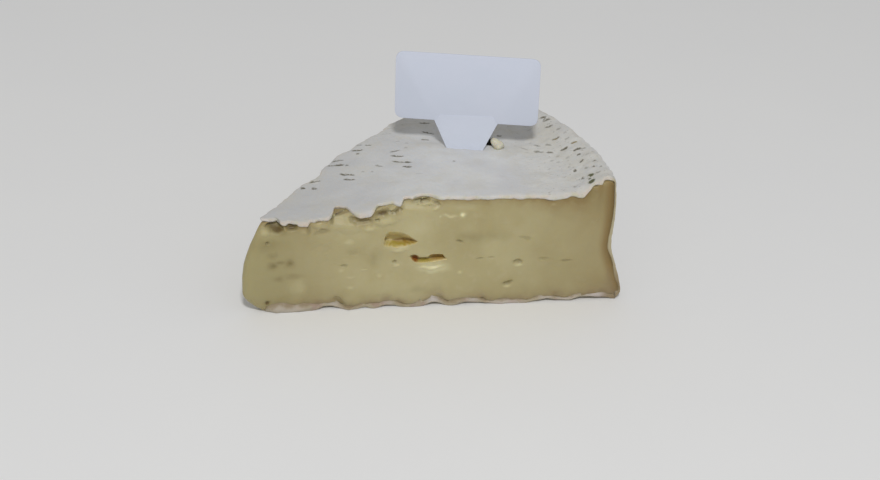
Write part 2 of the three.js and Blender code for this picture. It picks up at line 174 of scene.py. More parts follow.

# Marks of the front cut: distance from the tip, height, half length, half height, tilt, how far each stands
# out (hollows are negative) and its tone (dark is negative, pale is positive). Dark tones are partly real
# olive stains and partly painted shade in hollows and under the torn rind; pale ones are partly cream flecks
# and partly painted highlights on wet glints and on lit lips below eyes and dents.
FACE_MARKS = [
    (4.7, 28.9, 3.9, 1.9, -20, -2.6, -1.2), (5.8, 28, 2.8, 1.2, -14, 0, -1.7),
    (3.3, 29.3, 1.3, 0.9, -20, 0, -0.4), (2.2, 26.9, 1.5, 1.6, 0, 0.5, 0.3),
    (3.2, 22.8, 4.5, 2.4, 0, 0, -0.45), (2.9, 23.4, 0.6, 0.6, 0, -0.6, -1),
    (10.3, 28.4, 2, 1.6, 0, -1.3, -1.3), (13.6, 26.9, 1.7, 1.3, 0, 0.25, 0.15),
    (15.2, 27.4, 0.6, 1.9, 0, -0.4, -0.5), (18.6, 28.9, 3.3, 1.7, 6, 0.8, 0.25),
    (19.3, 26.6, 2.8, 0.8, 12, -0.3, -0.5), (22.2, 30.4, 0.5, 1.6, 0, -0.9, -0.8),
    (24.7, 31.6, 2.4, 2.2, 0, 0, 0.15), (30.4, 30, 3.9, 1.5, -16, -0.8, -0.55),
    (28.4, 30.6, 1.9, 1, -25, -0.3, -0.8), (33.2, 26.9, 2.3, 1, 0, 0.35, 0.55),
    (37, 32.6, 3, 1.3, 16, -0.8, -1.5), (41, 33, 2.4, 0.7, 20, -0.6, -1),
    (38.8, 32.1, 2.6, 0.9, 8, -0.2, -0.9), (39.3, 33.4, 0.9, 0.5, 0, 0.5, 0.5),
    (37.9, 29.4, 3.5, 1.2, 6, 0.5, 0.3), (35.4, 29.9, 0.9, 0.5, 0, -0.7, -0.6),
    (42.5, 31.4, 3.2, 1.8, 0, 0.2, 0), (48.5, 36.4, 2.7, 1, 4, -1.8, -1.7),
    (49.2, 35.2, 2.9, 0.6, 0, 0.6, 0.5), (52.4, 35.2, 1.6, 0.6, -35, -0.7, -1.2),
    (52.6, 33.3, 1.4, 0.8, 0, 0.4, 0.35), (61, 33.8, 5, 1.4, 0, -0.12, 0.25),
    (57.6, 30.8, 2.2, 0.6, 0, 0.25, 0.9), (61.1, 30.9, 0.8, 0.8, 0, 0.4, 2),
    (54.3, 30.5, 0.4, 0.4, 0, 0.1, 0.6), (99, 36.3, 2.5, 2.2, 0, -0.3, -0.5),
    (27.5, 27.6, 4, 2.2, 0, 0.35, 0), (42.1, 20.3, 3.7, 0.4, 0, 0, 0.6),
    (42.1, 19.6, 3.4, 0.8, 0, 0.2, 0.5), (52.2, 13.4, 4.2, 0.8, 4, 0.45, 1.4),
    (53, 12.8, 5.2, 2, 0, 0.2, 1.1), (51.9, 14.6, 4.6, 0.6, 0, 0, 0.7),
    (60.5, 21.7, 1.3, 0.4, -20, -0.45, -0.8), (78.5, 14.2, 1.5, 0.6, -3, -0.6, -0.7),
    (78.5, 13, 1.4, 0.5, 0, 0.2, 0.7), (75.3, 7.1, 1.7, 0.8, 24, -0.7, -0.8),
    (75.2, 5.7, 1.3, 0.6, 0, 0.2, 0.7), (40.8, 15.5, 0.6, 0.6, 0, -0.5, -0.7),
    (41.4, 14.1, 1.2, 0.6, 0, 0.2, 0.6), (25.5, 14.8, 1.2, 0.5, 0, -0.3, -0.6),
    (25, 13.1, 1, 0.8, 0, 0, 0.4), (28.3, 19.2, 1.8, 1.4, 10, -0.12, -0.25),
    (80, 22.3, 2.1, 0.5, -10, -0.25, -0.4), (85.9, 14.8, 1.8, 0.5, -4, -0.25, -0.3),
    (93, 14, 1.7, 0.5, 0, -0.3, -0.6), (66.4, 15.8, 1.1, 0.4, 0, -0.35, -0.2),
    (69.9, 16, 1, 0.4, 0, -0.3, -0.2), (4.5, 15.8, 1.6, 1.3, 10, -0.12, -0.9),
    (6.9, 16.8, 1.8, 0.8, 0, 0, -0.7), (9.5, 16.1, 1.5, 1.4, -8, -0.12, -0.9),
    (6.5, 11.1, 1.5, 1, 0, 0, -0.6), (10.7, 11.6, 3, 0.7, 0, 0, -0.4), (4.4, 19.3, 1.7, 1.4, 0, 0, -0.45),
    (5.7, 19.5, 0.8, 1.3, 0, -0.1, -0.4), (64.3, 22.9, 5.5, 2.1, 0, -0.05, -0.4),
    (70, 23.5, 6, 1.8, 0, 0, -0.25), (35.1, 17, 2, 3, 0, 0, -0.3), (19, 20.5, 3.5, 1.6, 12, -0.1, 0),
    (37.5, 3.6, 3.2, 1.3, 0, -0.15, 0), (12, 7.4, 2.2, 3, 0, 0.25, 0.35),
    (60.6, 11.1, 0.8, 0.9, 0, 0.2, 0.7), (27.3, 22.8, 1.5, 1.1, 0, 0.2, 0.4),
    (36.3, 10.7, 0.9, 0.9, 0, 0.15, 0.4), (27.9, 7, 1.3, 0.8, 0, 0.15, 0.35),
    (31.6, 13.1, 1.4, 0.5, 0, 0.15, 0.35), (27.7, 10.4, 1.3, 0.5, 0, 0.1, 0.3),
    (88, 33.6, 0.7, 0.4, 0, 0, 0.4), (47, 26.5, 8, 4.5, 0, 0, 0.3), (30.3, 24.6, 3.5, 2.5, 0, 0, 0.2),
    (2.9, 3.1, 0.8, 0.8, 0, -0.5, -1.8), (54, 10, 25, 9, 0, 0, 0.25), (102, 35, 8, 4.5, 0, 0, -0.3),
    (24.7, 2.7, 2.6, 0.8, -38, -0.3, -0.8), (50, 12, 9, 3.5, 0, 0, 0.28),
    (47.8, 5.4, 3.5, 1.2, 0, 0, -0.4),
]

# Openings in the back cut, which are this wedge's own: distance from the tip, height, half length, half
# height, depth and tilt
BACK_EYES = [(67, 19.5, 4.6, 2, 5, 5), (36, 13.5, 2, 1.1, 2, -8), (83, 11, 1.5, 0.8, 1.2, 10)]

# Short dark grooves in the bloom of the top: distance along X, distance along Y, half length, turn and
# strength
GROOVES = [
    (43.9, 33.3, 1.6, 14, 0.6), (44.2, 29.7, 2, -7, 0.9), (45.3, 25.8, 2.9, -17, 1),
    (46.4, 21.8, 1.3, -15, 0.9), (54.1, 40.7, 1.1, -4, 0.8), (55.4, 52.9, 1.6, -5, 0.7),
    (55.6, 45.9, 1.9, -28, 0.8), (38.1, 24.1, 1.3, -33, 0.5), (61.1, 23.9, 0.3, -4, 0.6),
    (33.4, 38.9, 0.8, -8, 0.5), (36.1, 38.3, 0.8, -16, 0.7), (32.4, 35.4, 1.6, -2, 0.9),
    (32.4, 33.1, 0.3, -8, 0.6), (26.1, 30.5, 1.6, -8, 0.8), (25.3, 27.8, 2.4, -7, 1),
    (28.6, 26.8, 0.3, -14, 0.6), (28.2, 21.7, 2.2, -25, 1), (28.6, 18.8, 1.6, -16, 0.9),
    (18.4, 20.1, 1.5, 5, 1), (18, 16.9, 0.6, -18, 0.8), (14.6, 17.5, 0.5, -18, 0.8),
    (33.1, 22, 0.3, -17, 0.4), (35.7, 21.1, 0.3, -18, 0.4), (49.6, 16.9, 1, -9, 0.3),
    (49.3, 10.5, 2.6, -19, 0.15), (42.4, 45.9, 2, -8, 0.3), (43.8, 50.3, 1, -5, 0.3),
    (48, 38.4, 0.5, -28, 0.4), (47.4, 35, 0.5, -7, 0.4), (45.5, 40.6, 0.4, -7, 0.4),
    (92, 46.1, 0.9, -17, 0.8), (92.8, 44.1, 1.1, -13, 0.7), (92.9, 40.3, 1.2, 3, 0.7),
    (95.5, 37.4, 0.8, 2, 0.5), (94, 33.6, 1, -7, 0.8), (95.4, 26.6, 1, 7, 1), (98.3, 23, 0.5, 9, 0.9),
    (99.1, 22.7, 0.5, 2, 0.9), (98.8, 20, 0.4, -1, 0.8), (98.9, 16, 0.5, 43, 1),
    (102.2, 13.2, 0.4, 15, 0.9), (101.6, 10.3, 0.4, -58, 0.8), (102, 6, 0.6, -34, 0.5),
    (96.3, 12.4, 0.3, 25, 0.8), (97.7, 6.5, 0.3, -20, 0.7), (94.6, 2.7, 0.3, -19, 0.6),
    (95.1, 15.4, 0.3, 2, 0.4), (90.8, 21.3, 0.6, 13, 0.4), (81.4, 34, 0.3, -15, 0.3),
    (83.9, 31.1, 1.7, -44, 0.4), (88, 32.3, 1.2, -44, 0.5), (91.4, 31.2, 1, -49, 0.5),
    (88, 28.6, 1.6, -33, 0.6), (91.2, 26.8, 1, -35, 0.7), (77.4, 41.3, 0.6, -11, 0.8),
    (101.1, 18, 0.5, 8, 0.4), (99.6, 11.4, 0.4, -10, 0.5), (95.6, 21, 0.5, 9, 0.4),
    (92.9, 23.6, 0.5, 18, 0.4), (103.4, 8.8, 0.3, -33, 0.6), (97.1, 31.1, 0.6, 10, 0.5),
    (98.3, 27.7, 0.6, -2, 0.5), (100.8, 22, 0.4, -6, 0.5), (97, 34.3, 0.6, 11, 0.4),
]

# Olive spots of older mould: distance along X, distance along Y, radius and strength
MOULD_SPOTS = [(100, 6.1, 0.9, 1), (99.5, 2.4, 1, 1), (99.3, 4.3, 0.5, 0.7), (61.1, 23.9, 0.5, 0.4)]

# The label card, which stands turned on its tapered stem
CARD = {"width": 44, "height": 22.4, "corner": 2.8, "thickness": 0.6, "stem_top": 19.6, "stem_foot": 11.4}
CARD_STEM = {"shown": 9.0, "buried": 8, "tip": 4.2}
CARD_PLACE = {"x": 65.7, "y": 33.9, "turn": math.radians(-11.5)}

# The stem's own strip laps over the panel: how far up it goes at the left and at the right, its insets, its
# thickness and how deep it starts
CARD_TAB = {"left": 1.9, "right": 2.4, "inset": 0.12, "taper": 1.7, "thickness": 0.08, "sunk": 0.5}

# The bit of paste that the stem pushed up beside it, and how its tones lie: a little greener all over, with
# painted light on its top and front and painted shade below
LUMP = {
    "along": 10.2, "behind": 1.1, "radius": 1.55, "lift": 0.6, "crest": 1.0, "sides": (1.1, 0.95, 1.0),
    "crest_way": (-0.6, 0.35, 0.72),
}
LUMP_TONES = {"lean": 0.4, "tip": 0.3, "lit_top": 0.8, "stain_and_shade": 0.4}

# Loose flecks on the paste where the rind was torn away: their number and sizes, how bare the paste is
# there, and how they are turned and squashed
FLECKS = {"count": 14, "smallest": 0.16, "largest": 0.38, "bare": 0.7}
FLECK_TURN = (6.283, 6.283, 6.283)
FLECK_SQUASH = [(0.6, 0.6, 0.6), (1.3, 1.3, 1.0)]

# Unevenness by name: layers of (how much, size of the lumps, octaves, salt), and how some are squeezed
UNEVEN = {
    "lip_reach": [(0.3, 2.1, 1, 30), (0.2, 1.0, 1, 31)],
    "lip_drop": [(0.14, 1.6, 1, 32)],
    "heel_top": [(0.3, 2.6, 1, 33), (0.15, 1.1, 1, 34)],
    "heel_lift": [(0.25, 2.0, 1, 35)],
    "heel_forward": [(0.25, 1.8, 1, 36)],
    "back_reach": [(0.25, 2.6, 1, 40), (0.15, 1.2, 1, 41)],
    "back_drop": [(0.3, 6, 1, 44)],
    "back_heel_top": [(0.5, 4, 1, 51)],
    "back_heel_forward": [(0.35, 5, 1, 52)],
    "bloom_broad": [(0.16, 9, 3, 60)],
    "bloom_fine": [(0.05, 1.7, 3, 61)],
    "bloom_creases": [(0.16, 5, 1, 67)],
    "rim_folds": [(0.2, 8, 3, 62)],
    "groove_wander": [(0.3, 1.5, 1, 63)],
    "wrinkles_rim": [(5, 12, 1, 64)],
    "wrinkles_back": [(4, 9, 1, 65)],
    "pebbles": [(0.27, 2.4, 2, 66)],
    "edge_crumple": [(1, 1.8, 2, 70)],
    "torn_lumps": [(0.25, 3, 3, 80)],
    "bare_top": [(0.15, 2.4, 2, 80)],
    "wall": [(0.14, 8, 1, 81), (0.02, 2.6, 1, 82)],
    "bend_along": [(1, 3.2, 2, 84)],
    "bend_up": [(1, 2.6, 2, 85)],
    "torn_start": [(2.2, 4, 1, 86)],
    "wall_foot": [(0.25, 3.5, 1, 89)],
    "dents": [(1, 5.5, 1, 90)],
    "lump": [(0.2, 2.2, 3, 95)],
}
SQUEEZE = {
    "bloom_creases": (0.35, 1, 1), "rim_folds": (1, 1, 2.5), "pebbles": (1, 1.3, 1),
    "torn_lumps": (1, 1, 1.7), "dents": (1, 1, 1.6), "lump": (3, 3, 3),
}

# Where a property starts and where it is full, by name: distances and heights in millimetres unless said
SPANS = {
    "heel_frays": (8, 20), "heel_tuck": (TIP_REACH, 6.5), "rim_low": (6, 0), "rim_high_share": (0.12, 0),
    "off_cut": (0, 1.2), "rim_turn": (0.2, 1.1), "upper_share": (1, 0.5), "heel_seam": (5, 0),
    "wrinkles_rim": (74, 98), "wrinkles_back": (20, 40), "grey_tip": (60, 8),
    "brown_out": (103, 107), "brown_low": (16, 5), "torn": (0, 0.9), "eye_floor": (0, 0.45),
    "eye_border": (-0.1, 0.12), "eye_open": (0, 0.05), "patch_share": (1.5, 0.3),
    "hollow_share": (1.15, 0.3), "dent_share": (0.45, 0.85), "bare": (0.9, 0.1),
    "corner_share": (1, CORNER_SHARE), "faces_cut": (-0.3, 0.8), "torn_wall": (0.2, -0.8),
    "torn_back": (-1.2, 0.2), "rim_end": (72, 98),
    "floor_share": (0.9, 1), "corner_low": (14, 7), "corner_out": (103.5, 108.5), "rim_third": (80, 104),
    "foot_from": (6, 20), "dull_tip": (36, 2), "dull_rim": (66, 92), "lit_top": (-0.3, 0.6),
}

# How quickly a property fades with distance, in millimetres
FADES = {
    "edge": 0.55, "brown": 2.5, "under_rind": 1.4, "under_rim_rind": 3.6, "foot": 0.8, "foot_tone": 1.5,
    "back_band": 1.2, "rim_tone": 2.8,
}

# Far across from any groove
FAR = 5.0


def clamp01(value):
    return np.clip(value, 0.0, 1.0)


def smooth(start, end, value):
    """0 up to start, 1 from end, with a soft turn at both."""
    s = clamp01((value - start) / (end - start))
    return s * s * (3 - 2 * s)


def span(name, value):
    return smooth(*SPANS[name], value)


def fade(name, distance):
    return np.exp(-distance / FADES[name])


def mix(a, b, share):
    return a + (b - a) * share


def bump(value, middle, width):
    """1 at its middle and 0 beyond its width."""
    s = clamp01(np.abs(value - middle) / width)
    return (1 - s * s) ** 2


def turned(x, y, turn):
    """How far a place is along a line with this turn, and how far beside it."""
    return x * math.cos(turn) + y * math.sin(turn), y * math.cos(turn) - x * math.sin(turn)


def curve_through(pairs, flat_turns=False):
    """A smooth curve through (position, value) pairs. With flat turns it never swings past a value."""
    at, value = np.array(pairs, float).T
    step = np.diff(value) / np.diff(at)
    before = np.append(step[:1], step)
    after = np.append(step, step[-1:])
    if flat_turns:
        slope = np.where(before * after > 0, 2 * before * after / (before + after + 1e-12), 0.0)
    else:
        low = np.maximum(np.arange(len(at)) - 1, 0)
        high = np.minimum(np.arange(len(at)) + 1, len(at) - 1)
        slope = (value[high] - value[low]) / (at[high] - at[low])

    def curve(x):
        x = np.asarray(x, float)
        i = np.clip(np.searchsorted(at, x) - 1, 0, len(at) - 2)
        length = at[i + 1] - at[i]
        s = clamp01((x - at[i]) / length)
        rest = 1 - s
        ends = rest * rest * (1 + 2 * s) * value[i] + s * s * (3 - 2 * s) * value[i + 1]
        return ends + s * rest * length * (rest * slope[i] - s * slope[i + 1])

    return curve


def curves_of(table):
    """One curve with flat turns for each value of a table's rows, over the rows' first number."""
    rows = np.array(table, float)
    return [curve_through(rows[:, [0, k]], flat_turns=True) for k in range(1, rows.shape[1])]


def ripple(a, b):
    """Small unevenness, the same as in the CAD solid."""
    first = 0.5 * np.sin(a * 0.61 + 1.3 * np.sin(b * 0.37))
    return first + 0.3 * np.sin(a * 1.47 - b * 0.83 + 2.1) + 0.2 * np.sin(a * 0.29 + b * 1.9 + 0.6)


# The numbers behind the noise
PRIMES = (374761393, 668265263, 2246822519, 3266489917)
WORD = 2**32
SHIFTS = (15, 13, 16)


def scatter_number(cell, salt):
    """A repeatable number from 0 to 1 for each whole-numbered place."""
    whole = cell.astype(np.int64).astype(np.uint64)
    first, second, third, fourth = (np.uint64(prime) for prime in PRIMES)
    n = whole[..., 0] * first + whole[..., 1] * second + whole[..., 2] * third
    n = n + np.uint64((salt + SEED) * PRIMES[3] % WORD)
    n = n & np.uint64(WORD - 1)
    n = ((n ^ (n >> np.uint64(SHIFTS[0]))) * third) & np.uint64(WORD - 1)
    n = ((n ^ (n >> np.uint64(SHIFTS[1]))) * fourth) & np.uint64(WORD - 1)
    return (n ^ (n >> np.uint64(SHIFTS[2]))).astype(float) / WORD


def noise(points, size, salt):
    """Soft noise from -1 to 1 with lumps of about this size."""
    p = points / size
    cell = np.floor(p)
    part = p - cell
    ease = part**3 * (part * (part * 6 - 15) + 10)
    total = 0.0
    for corner in np.ndindex(2, 2, 2):
        weight = np.ones(p.shape[:-1])
        for axis in range(3):
            weight = weight * (ease[..., axis] if corner[axis] else 1 - ease[..., axis])
        total = total + weight * scatter_number(cell + np.array(corner), salt)
    return 2 * total - 1


# Each finer layer of an unevenness has half the size and the strength, and a salt of its own
OCTAVE = 0.5
OCTAVE_SALT = 17


def uneven(name, points):
    """The unevenness of this name: each layer is noise with finer noise laid over it."""
    points = points * np.array(SQUEEZE.get(name, (1, 1, 1)))
    total = 0.0
    for amount, size, octaves, salt in UNEVEN[name]:
        for octave in range(octaves):
            finer = OCTAVE**octave
            total = total + amount * finer * noise(points, size * finer, salt + OCTAVE_SALT * octave)
    return total


def frayed(name, along, lane=5):
    """The unevenness of this name along an edge, which takes a lane of its own through the noise."""
    along = np.asarray(along, float)
    return uneven(name, np.stack([along, along * 0 + lane, along * 0], -1))


front_height = curve_through(FRONT_CREST)
back_height = curve_through(BACK_CREST)
rim_rind = curve_through(RIM_RIND)
torn_reach, torn_drop = curves_of(TORN_LIP)
heel_top, heel_lift, heel_forward = curves_of(HEEL_LIP)
(back_reach,) = curves_of(BACK_LIP)

# How far the top rind sags over the two cuts, with one deeper fold over the back cut
LIP_SAG = 0.08
BACK_SAG = 0.25
BACK_FOLD = {"at": 39, "width": 4.2, "drop": 0.9}

# The waves of the bottom rind's edge along the back cut, and their lane in the noise
BACK_HEEL = {"wave": 13.6, "top": 2.0, "rise": 0.6, "lift": 0.5, "forward": 0.35, "lane": 8}


def lip_reach(along):
    """How far the torn top rind stands out over the front cut."""
    return torn_reach(along) + frayed("lip_reach", along)


def lip_drop(along):
    """How far the torn top rind hangs over the front cut."""
    return torn_drop(along) + frayed("lip_drop", along) + LIP_SAG


def back_lip(along):
    """How far the top rind stands out over the back cut, and how far it hangs."""
    fold = BACK_FOLD["drop"] * bump(along, BACK_FOLD["at"], BACK_FOLD["width"])
    drop = np.maximum(BACK_SAG + frayed("back_drop", along) + fold, 0)
    return back_reach(along) + frayed("back_reach", along), drop


def front_heel(along):
    """The edge of the bottom rind along the front cut: where the paste meets it, lift and forward."""
    lift = np.maximum(heel_lift(along) + frayed("heel_lift", along) * span("heel_frays", along), 0)
    forward = heel_forward(along) + frayed("heel_forward", along)
    return heel_top(along) + frayed("heel_top", along), lift, forward


def back_heel(along):
    """The edge of the bottom rind along the back cut: where the paste meets it, lift and forward."""
    wave = 0.5 + 0.5 * np.sin(2 * np.pi * along / BACK_HEEL["wave"])
    top = BACK_HEEL["top"] + BACK_HEEL["rise"] * wave + frayed("back_heel_top", along, BACK_HEEL["lane"])
    forward = BACK_HEEL["forward"] + frayed("back_heel_forward", along, BACK_HEEL["lane"])
    return top, BACK_HEEL["lift"] * wave, forward


def top_height(x, y):
    """Height of the top rind over a place in the plan."""
    distance = np.hypot(x, y)
    turn = clamp01(np.arctan2(y, x) / WEDGE_ANGLE)
    level = mix(front_height(distance), back_height(distance), turn)
    shoulder = clamp01((distance - RIM_RADIUS) / SHOULDER["width"] + 1)
    rounding = SHOULDER["fall"] * (1 - np.sqrt(1 - shoulder**2))
    return level - rounding + TOP_RIPPLE["height"] * ripple(x * TOP_RIPPLE["rate"], y * TOP_RIPPLE["rate"])


def rim_radius(height):
    """Radius of the rim at a height: waist, bulge, flared heel and the turn under it."""
    flare = HEEL_FLARE * smooth(WAIST_HEIGHT, HEEL_HEIGHT, height)
    bulge = RIM_BULGE["out"] * bump(height, RIM_BULGE["height"], RIM_BULGE["span"])
    under = HEEL_UNDER["in"] * smooth(HEEL_UNDER["height"], 0, height)
    return RIM_RADIUS + flare + bulge - under


def plan_point(distance, share):
    """Where a row at this distance along the cuts passes, at a share of the way from front to back."""
    dip = TIP_DIP * (1 - smooth(TIP_REACH, TIP_DIP_END, distance))
    radius = distance - dip * (1 - (2 * share - 1) ** 2)
    return radius * np.cos(WEDGE_ANGLE * share), radius * np.sin(WEDGE_ANGLE * share)


def from_cuts(x, y):
    """How far a place is inside the front cut and inside the back cut."""
    return np.maximum(y, 0), np.maximum(-turned(x, y, WEDGE_ANGLE)[1], 0)


def hang(distance):
    """Shape of a fold over an edge: 1 at the edge, and level from the hang's width inwards."""
    s = clamp01(1 - distance / HANG_WIDTH)
    return 1 - np.sqrt(1 - s * s)


def place(points):
    """From millimetres round the wheel's middle to metres in the frame, kept inside the CAD box."""
    cheese_low, cheese_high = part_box("cheese_wedge")
    shift = np.array([cheese_low.x / MM + TIP_OVERHANG, cheese_low.y / MM + FRONT_OVERHANG, 0])
    moved = (points + shift) * MM
    return np.clip(moved, np.array(cheese_low), np.array([cheese_high.x, cheese_high.y, cad_high.z]))


def add(name, data):
    """A new object in the scene."""
    made = bpy.data.objects.new(name, data)
    bpy.context.scene.collection.objects.link(made)
    return made


def mesh_object(name, points, faces, material, attributes):
    """A smooth-shaded mesh object from millimetre points, with one float attribute for each name."""
    mesh = bpy.data.meshes.new(name)
    mesh.from_pydata(place(np.asarray(points, float)).tolist(), [], faces)
    mesh.validate()
    mesh.polygons.foreach_set("use_smooth", [True] * len(mesh.polygons))
    for label, values in attributes.items():
        layer = mesh.attributes.new(label, "FLOAT", "POINT")
        layer.data.foreach_set("value", np.asarray(values, np.float32).ravel())
    mesh.materials.append(material)
    return add(name, mesh)


def grid_faces(rows):
    """Quads between rows of point numbers, which all have one count."""
    rows = np.asarray(rows)
    quads = np.stack([rows[:-1, :-1], rows[:-1, 1:], rows[1:, 1:], rows[1:, :-1]], -1)
    return quads.reshape(-1, 4).tolist()


def zip_faces(first, second):
    """Triangles between two rows of point numbers whose counts differ."""
    faces = []
    i = j = 0
    while i < len(first) - 1 or j < len(second) - 1:
        ahead_first = (i + 1) / (len(first) - 1)
        ahead_second = (j + 1) / (len(second) - 1)
        if j == len(second) - 1 or (i < len(first) - 1 and ahead_first <= ahead_second):
            faces.append((first[i], first[i + 1], second[j]))
            i += 1
        else:
            faces.append((first[i], second[j + 1], second[j]))
            j += 1
    return faces


# The ways out of the front cut, of the back cut and of the tip
FRONT_OUT = np.array([0.0, -1.0, 0.0])
BACK_OUT = np.array([-math.sin(WEDGE_ANGLE), math.cos(WEDGE_ANGLE), 0.0])
TIP_OUT = np.array([-math.cos(WEDGE_ANGLE / 2), -math.sin(WEDGE_ANGLE / 2), 0.0])

# How finely the rind is divided: rows from the tip over the top, down the rim and back underneath, columns
# from the front cut to the back cut, and steps round its edges
TOP_ROWS = 226
SHOULDER_ROWS = 8
RIM_ROWS = 64
HEEL_ROWS = 6
UNDER_ROWS = 84
COLUMNS = 171
EDGE_CROWDING = 0.35
INNER_EVERY = 5
LIP_STEPS = 8
EDGE_STEPS = (np.arange(LIP_STEPS) + 1) / (LIP_STEPS + 1)

# How far in from a cut its edge pulls the rind along: by part of the rind, and on the top less near the tip
PULL = {"top": 14, "under": 8, "rim": 5, "heel": 5}
TIP_PULL = {"least": 2, "growth": 1.6}
PULL_EASE = 1.5

# How far the top's torn end and the bottom's end stand out at the tip and how far in that fades, and how
# much of the bottom edge's own reach is left there
TIP_ENDS = {"top": (-TIP_TORN, 9), "under": (1.2, 6)}
HEEL_TIP_SHARE = 0.2

# The rim's two edges: how far they stand out over the cuts, and where on the front cut its heel is read
RIM_EDGES = {"front": 0.15, "back": 0.2, "heel_at": 109}

# The broken edge of the top rind, and how far in the edge of the bottom rind is lifted
TOP_BREAK = {"fall": 0.25, "width": 0.6}
HEEL_LIFT_WIDTH = 5

# The rolled edges of the rind: how far they swell out, how they crumple, how the bottom one is tucked in,
# how they end at the tip, and the tones that go on over them, with painted shade on the bottom one's tip end
ROLL = {"plain": 0.22, "heel": 0.35, "heel_gain": 0.4}
CRUMPLE = {"under": 0.7, "other": 0.5}
HEEL_TUCK = {"above_seam": 0.3, "in": 0.5, "width": 4}
TIP_END_ROLL = {"swell": 0.2, "behind": 2}
TIP_HEEL_RISE_SHADE = 0.8
ROLLED_TONES = ("under", "rim", "grey", "brown")

# Where the bottom rind's edge is whitest along the front cut: distance from the tip, half length, strength
HEEL_BLOOM = [
    (9, 9, 0.5), (22.5, 3, 0.5), (39.5, 2, 0.6), (52.9, 3.2, 1), (65, 3, 0.7), (75, 8, 0.6), (87, 3, 0.6),
    (94, 5, 0.6), (103, 6, 0.9),
]

# Short brown grooves in the bloom of the rim, like those of the top
RIM_GROOVES = {"count": 95, "lowest": 3.0, "highest": 38.0, "shortest": 0.2, "longest": 1.3, "spread": 28}
RIM_GROOVE_STRENGTH = (0.1, 0.7)
RIM_MARGIN = 2

# A groove's line and the field round it, in millimetres: bend, ends, half width and the rolls beside it
GROOVE = {
    "bend": 0.12, "bend_rate": 1.9, "ends": 0.4, "field": 1.1, "full": 1.25, "depth": 0.32, "half": 0.32,
    "roll": 0.26, "roll_at": 0.75, "roll_half": 0.35,
}

# The shallower relief underneath and at the cuts, the mould spots' full middle and the wrinkled places
UNDER_SHARE = 0.3
UNDER_SUNK = 0.08
QUIET_SHARE = 0.5
MOULD_FULL = 1.4
BACK_WRINKLES = {"lean": 0.35, "share": 0.6}
RIM_WRINKLES_LESS = 0.6

# The open end of the slit beside the card's stem and the dimple round the stem
SLIT_END = {"beyond": 1.9, "half": 1.7, "behind": 5.4, "wide": 2.7, "depth": 3.6}
STEM_DIMPLE = {"half": 1.5, "wide": 2.0, "depth": 0.35}


def rind_rows():
    """Rows of the rind as (part, place on it, turn of its skin). On the rim the place is a share."""
    shoulder_start = RIM_RADIUS - SHOULDER["width"]
    rows = [("top", distance, 0.0) for distance in np.linspace(TIP_REACH, shoulder_start, TOP_ROWS)]
    for turn in np.linspace(0, math.pi / 2, SHOULDER_ROWS + 1)[1:]:
        rows.append(("top", shoulder_start + SHOULDER["width"] * math.sin(turn), turn))
    rows += [("rim", share, math.pi / 2) for share in np.linspace(0, 1, RIM_ROWS + 1)[1:]]
    for turn in np.linspace(0, math.pi / 2, HEEL_ROWS + 1)[1:]:
        rows.append(("heel", HEEL_UNDER["height"] * (1 - math.sin(turn)), math.pi / 2 + turn))
    for distance in np.linspace(rim_radius(0), TIP_REACH, UNDER_ROWS + 1)[1:]:
        rows.append(("under", distance, math.pi))
    return rows


def rind_row(part, at, turn, share):
    """One row of the rind's outer side before its fine relief, and how its two edges pull it."""
    angle = WEDGE_ANGLE * share
    width = PULL[part]
    if part == "top":
        x, y = plan_point(at, share)
        z = top_height(x, y)
        front, front_drop = lip_reach(at), lip_drop(at)
        back, back_drop = back_lip(np.array([at]))
        width = min(width, TIP_PULL["growth"] * at + TIP_PULL["least"])
    elif part == "under":
        x, y = plan_point(at, share)
        z = share * 0
        front_lift, front = front_heel(at)[1:]
        back_lift, back = back_heel(np.array([at]))[1:]
        front = front * mix(HEEL_TIP_SHARE, 1, span("heel_tuck", at))
    else:
        crest = top_height(RIM_RADIUS * np.cos(angle), RIM_RADIUS * np.sin(angle))
        z = mix(crest, HEEL_UNDER["height"], at) if part == "rim" else at + share * 0
        x, y = rim_radius(z) * np.cos(angle), rim_radius(z) * np.sin(angle)
        front = mix(RIM_EDGES["front"], heel_forward(RIM_EDGES["heel_at"]), span("rim_low", z[0]))
        front = mix(front, lip_reach(RIM_RADIUS), span("rim_high_share", at) if part == "rim" else 0)
        back = RIM_EDGES["back"]
    points = np.stack([x, y, z], -1)
    away = from_cuts(x, y)
    pulled = np.zeros_like(points)
    sides = ((away[0], share, front, FRONT_OUT), (away[1], 1 - share, back, BACK_OUT))
    for inside, across, reach, out in sides:
        near = clamp01(1 - inside / width) ** PULL_EASE * (1 - across)
        pulled += (reach * near)[:, None] * out
    points = points + pulled
    if part in TIP_ENDS:
        far, length = TIP_ENDS[part]
        points += far * clamp01(1 - (at - TIP_REACH) / length) ** PULL_EASE * TIP_OUT
    if part == "top":
        broken = sum(clamp01(1 - inside / TOP_BREAK["width"]) ** 2 for inside in away)
        points[:, 2] += top_height(points[:, 0], points[:, 1]) - z - TOP_BREAK["fall"] * broken
        points[:, 2] -= front_drop * hang(away[0]) + back_drop * hang(away[1])
    elif part == "under":
        points[:, 2] += front_lift * clamp01(1 - away[0] / HEEL_LIFT_WIDTH) ** 2
        points[:, 2] += back_lift * clamp01(1 - away[1] / HEEL_LIFT_WIDTH) ** 2
    radial = np.stack([np.cos(angle), np.sin(angle), angle * 0], -1)
    facing = radial * math.sin(turn) + np.array([0, 0, math.cos(turn)])
    return points, facing, away, pulled


